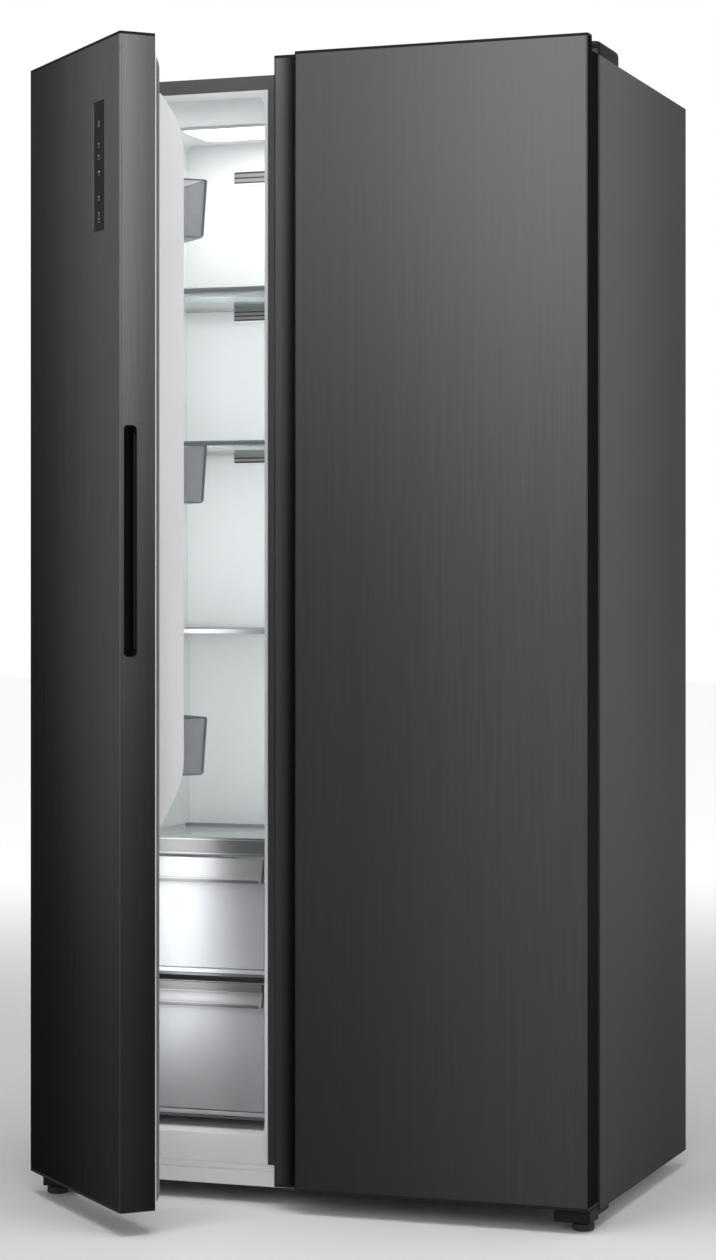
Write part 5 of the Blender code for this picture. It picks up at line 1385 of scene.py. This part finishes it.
def feet():
    """The ribbed levelling feet on their threaded studs, and the rear rollers."""
    bodies = {"freezer": "left_foot", "fridge": "right_foot"}
    for side in SIDES:
        low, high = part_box(f"{side}_foot")
        centre = Vector(((low.x + high.x) / 2, (low.y + high.y) / 2, 0.0))
        radius = (high.x - low.x) / 2 - 0.0012
        rise = low.z + 0.012
        lobe = bmesh.new()
        outline = [(0.0008, low.z + 0.0006), (0.0020, low.z + 0.0022)]
        outline += [(0.0020, rise - 0.0026), (0.0008, rise - 0.0010)]
        turned(lobe, outline, (radius - 0.0010, 0.0, 0.0), "Z", 8)
        bm = grown(f"{side}_foot_lobes", lobe, "wheel", {"Count": 24}, "foot_rubber")
        bmesh.ops.translate(bm, vec=centre, verts=bm.verts)
        disc = [(radius - 0.002, low.z), (radius, low.z + 0.001), (radius, rise - 0.0016)]
        disc += [(radius - 0.0025, rise), (0.0072, rise + 0.0004), (0.0060, rise + 0.0030)]
        stud = [(0.0045, rise + 0.0030)]
        threads = 5
        pitch = (high.z - rise - 0.0034) / threads
        for k in range(threads):
            base = rise + 0.0032 + pitch * k
            stud += [(0.0038, base), (0.0045, base + pitch / 2)]
        turned(bm, disc + stud + [(0.0038, high.z)], centre, "Z", 32)
        name = f"{side}_levelling_foot"
        piece(name, bm, "foot_rubber", bodies[side], (f"{side}_foot",))
    low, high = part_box("rear_rollers")
    axis = (0.0, (low.y + high.y) / 2, (low.z + high.z) / 2)
    radius = (high.z - low.z) / 2
    width = 0.022
    bm = bmesh.new()
    for way in (-1, 1):
        middle = way * (high.x - 0.002 - width / 2)
        tread = [(0.006, -0.011), (0.012, -0.011), (0.0135, -0.009), (0.0165, -0.0105), (0.018, -0.009)]
        tread += [(0.018, 0.009), (0.0165, 0.0105), (0.0135, 0.009), (0.012, 0.011), (0.006, 0.011)]
        scale = radius / 0.018
        profile = [(r * scale, middle + along) for r, along in tread]
        turned(bm, profile, axis, "X", 40)
    axle = [(0.0035, low.x), (0.004, low.x + 0.0006), (0.004, high.x - 0.0006), (0.0035, high.x)]
    turned(bm, axle, axis, "X", 20)
    piece("roller_axle", bm, "foot_rubber", "rollers", ("rear_rollers",))


def machine_room():
    """The compressor, the drip tray and the vented rear cover with its bush and screws."""
    low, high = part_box("compressor")
    centre = (low + high) / 2
    bm = bmesh.new()
    block(bm, (low.x, high.x), (centre.y - 0.060, centre.y + 0.060), (0.014, 0.0165), 0.0008, 2)
    pot = [(0.046, 0.0220), (0.058, 0.0260), (0.0640, 0.0400), (0.0650, 0.0850)]
    pot += [(0.0660, 0.0855), (0.0660, 0.0905), (0.0650, 0.0910), (0.0635, 0.1180)]
    pot += [(0.0560, 0.1440), (0.0420, 0.1580), (0.0220, 0.1645), (0.0, 0.1650)]
    turned(bm, pot, (centre.x, centre.y, 0.0), "Z", 48)
    terminals = ((centre.x - 0.040, centre.x - 0.002), (centre.y + 0.044, high.y - 0.001), (0.060, 0.105))
    block(bm, *terminals, 0.005, 3)
    inset = 0.015
    for x in (low.x + inset, high.x - inset):
        for y in (centre.y - 0.045, centre.y + 0.045):
            ring = [(0.0105, 0.0020), (0.0110, 0.0050), (0.0085, 0.0090), (0.0110, 0.0130), (0.0100, 0.0185)]
            turned(bm, [*ring, (0.0060, 0.0195)], (x, y, 0.0), "Z", 20)
    body = CABINET
    piece("compressor_pot", bm, "pot_enamel", body, ("compressor",))
    start = Vector((centre.x - 0.030, centre.y, 0.150))
    bends = ((0.0, 0.0), (-0.016, 0.018), (-0.045, 0.020), (-0.070, 0.006), (-0.075, -0.040))
    path = [start + Vector((x, 0.0, z)) for x, z in bends]
    smooth_path = spline(path, 6)
    bm = bead("suction_pipe", smooth_path, 0.0032, "copper_pipe", 10)
    piece("compressor_pipe", bm, "copper_pipe", body)
    low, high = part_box("drip_tray")
    bm = bmesh.new()
    tub(bm, (low.x, high.x), (low.y, high.y), (low.z, high.z), 0.002, 0.016, 0.004, 0.0014)
    piece("drip_tray_moulding", bm, "black_moulding", body, ("drip_tray",))
    dress("black_moulding", "machine_cover", "cord_gland")
    low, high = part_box("machine_cover")
    edge = 0.010
    face = 0.2694
    bm = bmesh.new()
    count = 7
    step = (high.x - low.x - 2 * edge) / (count - 1)
    for height in (low.z + edge, high.z - edge):
        start = (low.x + edge, face, height)
        name = f"cover_screws_{round(height * 1000)}"
        merge(bm, row(name, screw("Y", 1), count, start, (step, 0.0, 0.0), "screw_steel"))
    piece("machine_cover_screws", bm, "screw_steel", body)


def spline(points, steps):
    """A smooth path through given points."""
    points = [Vector(p) for p in points]
    full = [points[0], *points, points[-1]]
    out = []
    for a, b, c, d in zip(full, full[1:], full[2:], full[3:]):
        for k in range(steps):
            t = k / steps
            spot = b * 2 + (c - a) * t + (a * 2 - b * 5 + c * 4 - d) * t**2 + (b * 3 - a - c * 3 + d) * t**3
            out.append(tuple(spot / 2))
    out.append(tuple(points[-1]))
    return out


# ---------------------------------------------------------------- stage


def area_light(name, place, aim, size, power, colour=(1.0, 1.0, 1.0)):
    data = bpy.data.lights.new(name, "AREA")
    data.shape = "RECTANGLE"
    data.size, data.size_y = size
    data.energy = power
    data.color = colour
    obj = bpy.data.objects.new(name, data)
    bpy.context.scene.collection.objects.link(obj)
    obj.location = place
    way = Vector(aim) - Vector(place)
    obj.rotation_euler = way.to_track_quat("-Z", "Y").to_euler()
    return obj


def studio_sky(look):
    """Plain white surroundings, whose light on the object is softer and falls off towards the left."""
    world = bpy.data.worlds.new("studio")
    world.use_nodes = True
    bpy.context.scene.world = world
    tree = world.node_tree
    tree.nodes.clear()
    way = wire(tree, "ShaderNodeTexCoord", {}, {}).outputs["Generated"]
    split = wire(tree, "ShaderNodeSeparateXYZ", {}, {0: way})
    run = {0: split.outputs[0], 1: -0.9, 2: 0.0, 3: look.sky_left, 4: 1.0}
    fall = wire(tree, "ShaderNodeMapRange", {}, run)
    product = {0: fall.outputs[0], 1: look.sky_strength}
    level = wire(tree, "ShaderNodeMath", {"operation": "MULTIPLY"}, product)
    colour = (*look.sky[:3], 1.0)
    plain = wire(tree, "ShaderNodeBackground", {}, {"Color": colour, "Strength": 1.0})
    light = wire(tree, "ShaderNodeBackground", {}, {"Color": colour, "Strength": level.outputs[0]})
    seen = wire(tree, "ShaderNodeLightPath", {}, {}).outputs["Is Camera Ray"]
    both = wire(tree, "ShaderNodeMixShader", {}, {0: seen, 1: light.outputs[0], 2: plain.outputs[0]})
    wire(tree, "ShaderNodeOutputWorld", {}, {0: both.outputs[0]})


def stage():
    """Floor, lights, sky and camera."""
    look = settings().stage
    floor_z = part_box("rear_rollers")[0].z
    bm = bmesh.new()
    half = 30.0
    corners = ((-half, -half), (half, -half), (half, half), (-half, half))
    bm.faces.new([bm.verts.new((x, y, floor_z - 0.0005)) for x, y in corners])
    FINISHES["pale_floor"] = floor_finish(look.floor)
    floor = link("studio_floor", bm, "pale_floor")
    area_light("key", (-1.9, -6.2, 3.2), (0.2, -0.3, 1.2), (3.0, 2.6), look.key)
    area_light("fill", (4.8, -2.6, 2.6), (-0.1, -0.4, 1.0), (2.4, 2.8), look.fill)
    area_light("top", (0.2, -1.2, 4.6), (0.0, -0.1, 0.9), (3.2, 2.4), look.top)
    area_light("rear", (3.2, 3.4, 3.0), (0.2, 0.1, 1.0), (2.0, 2.0), look.fill * 0.15)
    for side in SIDES:
        low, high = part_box(f"{side}_light")
        middle = (low + high) / 2
        spot = (middle.x, low.y + 0.02, low.z - 0.004)
        area_light(f"{side}_glow", spot, (middle.x, middle.y + 0.02, 0.4), (0.15, 0.10), look.glow)
        area_light(f"{side}_wash", (middle.x, -0.225, 0.80), (middle.x, 0.2, 0.72), (0.10, 1.2), look.wash)
    studio_sky(look)
    data = bpy.data.cameras.new("camera")
    data.lens = look.lens
    data.sensor_width = 36.0
    data.shift_y = look.shift
    camera = bpy.data.objects.new("camera", data)
    bpy.context.scene.collection.objects.link(camera)
    camera.location = look.camera_place
    camera.rotation_euler = (math.pi / 2, 0.0, look.camera_turn)
    bpy.context.scene.camera = camera
    bpy.context.scene.view_settings.view_transform = "Standard"


# ---------------------------------------------------------------- settings


def colour_setting(name, description, default):
    return FloatVectorProperty(
        name=name, description=description, subtype="COLOR", size=3, min=0.0, max=1.0, default=default
    )


def length_setting(name, description, default):
    limits = {"min": 0.0, "unit": "LENGTH", "precision": 4}
    return FloatProperty(name=name, description=description, default=default, **limits)


def amount_setting(name, description, default):
    return FloatProperty(name=name, description=description, default=default, min=0.0)


def tone_setting(name, description, default):
    return FloatVectorProperty(name=name, description=description, size=2, min=0.0, default=default)


class DoorSettings(bpy.types.PropertyGroup):
    """Sizes and colours of the doors."""

    steel: colour_setting("Steel", "Colour of the brushed door sheets at full tone", (0.170, 0.170, 0.172))
    # Painted light and shade on the wide door: its tones at top and bottom, left and right and on its folded
    # sides.
    fridge_painted_light_top_bottom: tone_setting("Wide door tones", "Tone of the wide door, top and bottom", (0.46, 0.24))
    fridge_painted_light_left_right: tone_setting("Wide door sides", "Tone of the wide door, left and right", (0.72, 1.35))
    fridge_painted_light_folds: tone_setting("Wide door folds", "Tone of the wide door's folded sides", (1.6, 0.16))
    # Painted light and shade on the narrow door: its tones at top and bottom, left and right and on its
    # folded sides.
    freezer_painted_light_top_bottom: tone_setting("Narrow door tones", "Tone of the narrow door, top and bottom", (1.70, 0.22))
    freezer_painted_light_left_right: tone_setting("Narrow door sides", "Tone of the narrow door, left and right", (0.48, 1.55))
    freezer_painted_light_folds: tone_setting("Narrow door folds", "Tone of the narrow door's folded sides", (0.5, 0.34))
    brush_grain: amount_setting("Brush grain", "Brush lines in a metre", 900.0)
    brush_depth: length_setting("Brush depth", "Depth of the brush lines", 0.00006)
    pocket_wall: length_setting("Pocket wall", "Wall of the finger pockets", 0.0014)
    pocket_radius: length_setting("Pocket radius", "Corner radius of the finger pockets", 0.0068)
    seal_width: length_setting("Seal width", "Width of the door seals", 0.020)
    ridge_width: length_setting("Ridge width", "Width of the ridges that hold the bins", 0.018)
    ridge_shoulder: length_setting("Ridge shoulder", "Height of a ridge at its two ends", 0.0254)
    ridge_slants: FloatVectorProperty(
        name="Ridge slants",
        description="Length of a ridge's slant at its top and at its bottom",
        size=2,
        default=(0.056, 0.074),
        unit="LENGTH",
    )
    ledge_height: length_setting("Ledge height", "Height of the ledges under the bins", 0.008)
    ledge_depth: length_setting("Ledge depth", "Depth of the ledges under the bins", 0.050)
    bin_gap: length_setting("Bin gap", "Room between a bin and the ridges", 0.0025)
    bin_wall: length_setting("Bin wall", "Wall of the bins", 0.0022)
    bin_radius: length_setting("Bin radius", "Corner radius of the bins", 0.006)
    sign_size: length_setting("Sign size", "Size of the signs on the control window", 0.0046)


class CabinetSettings(bpy.types.PropertyGroup):
    """Colours of the cabinet's outside."""

    paint: colour_setting("Paint", "Colour of the cabinet's sides and top", (0.125, 0.125, 0.127))
    # Painted shade on the cabinet paint: darker towards the bottom and towards the rear.
    case_painted_shade_top_bottom: tone_setting("Paint tones", "Top and bottom tone of the paint", (1.0, 0.36))
    case_painted_shade_rear: amount_setting("Paint rear", "Tone of the paint at the rear", 0.5)


class InsideSettings(bpy.types.PropertyGroup):
    """Sizes and colours of the compartments."""

    white: colour_setting("White", "Colour of the linings", (0.86, 0.87, 0.88))
    lamp_strength: amount_setting("Lamp strength", "Glow of the lamps", 3.0)
    corner_radius: length_setting("Corner radius", "Corner radius of the compartments", 0.012)
    glass_thickness: length_setting("Glass thickness", "Thickness of the shelf glass", 0.005)
    shelf_lip: length_setting("Shelf lip", "Depth of a shelf's front edge", 0.010)
    plate_rise: length_setting("Plate rise", "Height of a lid's glass above its front band", 0.014)
    band_depth: length_setting("Band depth", "Depth of a lid's front band", 0.010)
    runner_drop: length_setting("Runner drop", "Drop of a drawer's runners below its rim", 0.020)
    runner_reach: length_setting("Runner reach", "Reach of a drawer's runners", 0.0085)
    drawer_wall: length_setting("Drawer wall", "Wall of the drawers", 0.0025)
    vent_width: length_setting("Vent width", "Width of the air slots", 0.137)
    pull_band: length_setting("Pull band", "Height of the band over the lower pull", 0.014)
    louvre_pitch: length_setting("Louvre pitch", "Distance between two louvres", 0.0055)


class StageSettings(bpy.types.PropertyGroup):
    """Floor, lights and camera."""

    floor: colour_setting("Floor", "Colour of the floor", (0.94, 0.94, 0.94))
    sky: colour_setting("Sky", "Colour of the surroundings", (1.0, 1.0, 1.0))
    sky_strength: amount_setting("Sky strength", "Light of the surroundings", 0.42)
    sky_left: amount_setting("Sky left", "Share of that light on the left", 0.30)
    key: amount_setting("Key", "Main light in watts", 80.0)
    fill: amount_setting("Fill", "Side light in watts", 30.0)
    top: amount_setting("Top", "Overhead light in watts", 90.0)
    glow: amount_setting("Glow", "Light of each lamp in watts", 0.5)
    wash: amount_setting("Wash", "Soft light in each mouth in watts", 1.5)
    lens: amount_setting("Lens", "Focal length in millimetres", 88.1)
    shift: FloatProperty(name="Shift", description="Upward shift of the lens", default=-0.0228)
    camera_place: FloatVectorProperty(
        name="Camera place",
        description="Where the camera stands",
        subtype="TRANSLATION",
        size=3,
        default=(1.6766, -4.7512, 0.9140),
    )
    camera_turn: FloatProperty(
        name="Camera turn", description="Turn of the camera about Z", subtype="ANGLE", default=0.3453
    )


class RefrigeratorSettings(bpy.types.PropertyGroup):
    """Every size and colour that can be changed."""

    doors: PointerProperty(type=DoorSettings)
    cabinet: PointerProperty(type=CabinetSettings)
    inside: PointerProperty(type=InsideSettings)
    stage: PointerProperty(type=StageSettings)


def settings():
    return bpy.context.scene.refrigerator


# ---------------------------------------------------------------- operators


class BuildStep(bpy.types.Operator):
    """A step that runs one function for each of its cases."""

    bl_options = {"REGISTER", "UNDO"}


class FRIDGE_OT_door_sheets(BuildStep):
    """Finish the folded door sheets, the end caps and the door foam"""

    bl_idname = "fridge.door_sheets"
    bl_label = "Door sheets"

    def execute(self, context):
        door_sheets()
        return {"FINISHED"}


class FRIDGE_OT_handles(BuildStep):
    """Build the finger pocket in the free side of each door"""

    bl_idname = "fridge.handles"
    bl_label = "Finger pockets"

    def execute(self, context):
        for side in SIDES:
            handle_pocket(side)
        return {"FINISHED"}


class FRIDGE_OT_seals(BuildStep):
    """Build the soft seal round the back of each door"""

    bl_idname = "fridge.seals"
    bl_label = "Door seals"

    def execute(self, context):
        for side in SIDES:
            door_seal(side)
        return {"FINISHED"}


class FRIDGE_OT_door_linings(BuildStep):
    """Build the white inner panel of each door with its ridges"""

    bl_idname = "fridge.door_linings"
    bl_label = "Door linings"

    def execute(self, context):
        for side in SIDES:
            door_lining(side)
        return {"FINISHED"}


class FRIDGE_OT_bins(BuildStep):
    """Build the clear bins of the doors"""

    bl_idname = "fridge.bins"
    bl_label = "Door bins"

    def execute(self, context):
        for side in SIDES:
            door_bins(side)
        return {"FINISHED"}


class FRIDGE_OT_control_window(BuildStep):
    """Build the control window with its signs"""

    bl_idname = "fridge.control_window"
    bl_label = "Control window"

    def execute(self, context):
        control_window()
        return {"FINISHED"}


class FRIDGE_OT_linings(BuildStep):
    """Build the moulded compartments with their ribs"""

    bl_idname = "fridge.linings"
    bl_label = "Compartments"

    def execute(self, context):
        for side in SIDES:
            lining(side)
        return {"FINISHED"}


class FRIDGE_OT_shelves(BuildStep):
    """Build the glass shelves and the lids over the drawers"""

    bl_idname = "fridge.shelves"
    bl_label = "Shelves"

    def execute(self, context):
        for node in sorted(NODES):
            if "_shelf_" in node:
                glass_shelf(node)
        drawer_lid("freezer_drawer_cover")
        drawer_lid("crisper_cover")
        return {"FINISHED"}


class FRIDGE_OT_drawers(BuildStep):
    """Build the frosted drawers and their pulls"""

    bl_idname = "fridge.drawers"
    bl_label = "Drawers"

    def execute(self, context):
        drawer("freezer_drawer_upper", "upper_drawer")
        drawer("freezer_drawer_lower", "lower_drawer")
        drawer("crisper_drawer", "crisper")
        drawer_pull("freezer_drawer_upper_handle", "upper_drawer")
        drawer_pull("freezer_drawer_lower_handle", "lower_drawer")
        return {"FINISHED"}


class FRIDGE_OT_air(BuildStep):
    """Build the air slots with their louvres and the fridge's air column"""

    bl_idname = "fridge.air"
    bl_label = "Air slots"

    def execute(self, context):
        vents()
        air_duct()
        return {"FINISHED"}


class FRIDGE_OT_lamps(BuildStep):
    """Build the lit lenses under the ceilings"""

    bl_idname = "fridge.lamps"
    bl_label = "Lamps"

    def execute(self, context):
        lamps()
        return {"FINISHED"}


class FRIDGE_OT_cooling(BuildStep):
    """Build the coil's pipe and the blower"""

    bl_idname = "fridge.cooling"
    bl_label = "Coil and blower"

    def execute(self, context):
        cooling()
        return {"FINISHED"}


class FRIDGE_OT_cabinet(BuildStep):
    """Finish the cabinet's sheets and build the panel under the compartments"""

    bl_idname = "fridge.cabinet"
    bl_label = "Cabinet sheets"

    def execute(self, context):
        cabinet_sheets()
        return {"FINISHED"}


class FRIDGE_OT_hinges(BuildStep):
    """Build the hinge lids and the screws of the hinges"""

    bl_idname = "fridge.hinges"
    bl_label = "Hinges"

    def execute(self, context):
        hinges()
        return {"FINISHED"}


class FRIDGE_OT_feet(BuildStep):
    """Build the levelling feet and the rear rollers"""

    bl_idname = "fridge.feet"
    bl_label = "Feet and rollers"

    def execute(self, context):
        feet()
        return {"FINISHED"}


class FRIDGE_OT_machine_room(BuildStep):
    """Build the compressor, the drip tray and the screws of the rear cover"""

    bl_idname = "fridge.machine_room"
    bl_label = "Compressor room"

    def execute(self, context):
        machine_room()
        return {"FINISHED"}


class FRIDGE_OT_stage(BuildStep):
    """Build the floor, the lights and the camera"""

    bl_idname = "fridge.stage"
    bl_label = "Stage"

    def execute(self, context):
        stage()
        return {"FINISHED"}


STEPS = (
    FRIDGE_OT_cabinet,
    FRIDGE_OT_linings,
    FRIDGE_OT_shelves,
    FRIDGE_OT_drawers,
    FRIDGE_OT_air,
    FRIDGE_OT_lamps,
    FRIDGE_OT_cooling,
    FRIDGE_OT_machine_room,
    FRIDGE_OT_hinges,
    FRIDGE_OT_feet,
    FRIDGE_OT_door_sheets,
    FRIDGE_OT_handles,
    FRIDGE_OT_seals,
    FRIDGE_OT_door_linings,
    FRIDGE_OT_bins,
    FRIDGE_OT_control_window,
    FRIDGE_OT_stage,
)


class FRIDGE_PT_build(bpy.types.Panel):
    """Lists the steps and the settings"""

    bl_idname = "FRIDGE_PT_build"
    bl_label = "Refrigerator"
    bl_space_type = "VIEW_3D"
    bl_region_type = "UI"
    bl_category = "Refrigerator"

    def draw(self, context):
        for step in STEPS:
            self.layout.operator(step.bl_idname)
        for group in (settings().doors, settings().cabinet, settings().inside, settings().stage):
            box = self.layout.box()
            for label in group.__annotations__:
                box.prop(group, label)


CLASSES = (
    DoorSettings,
    CabinetSettings,
    InsideSettings,
    StageSettings,
    RefrigeratorSettings,
    *STEPS,
    FRIDGE_PT_build,
)


def register():
    for made in CLASSES:
        bpy.utils.register_class(made)
    bpy.types.Scene.refrigerator = PointerProperty(type=RefrigeratorSettings)


def unregister():
    del bpy.types.Scene.refrigerator
    for made in reversed(CLASSES):
        bpy.utils.unregister_class(made)


def main():
    register()
    for step in STEPS:
        group, label = step.bl_idname.split(".")
        getattr(getattr(bpy.ops, group), label)()
    bpy.context.view_layer.update()


if __name__ == "__main__":
    main()
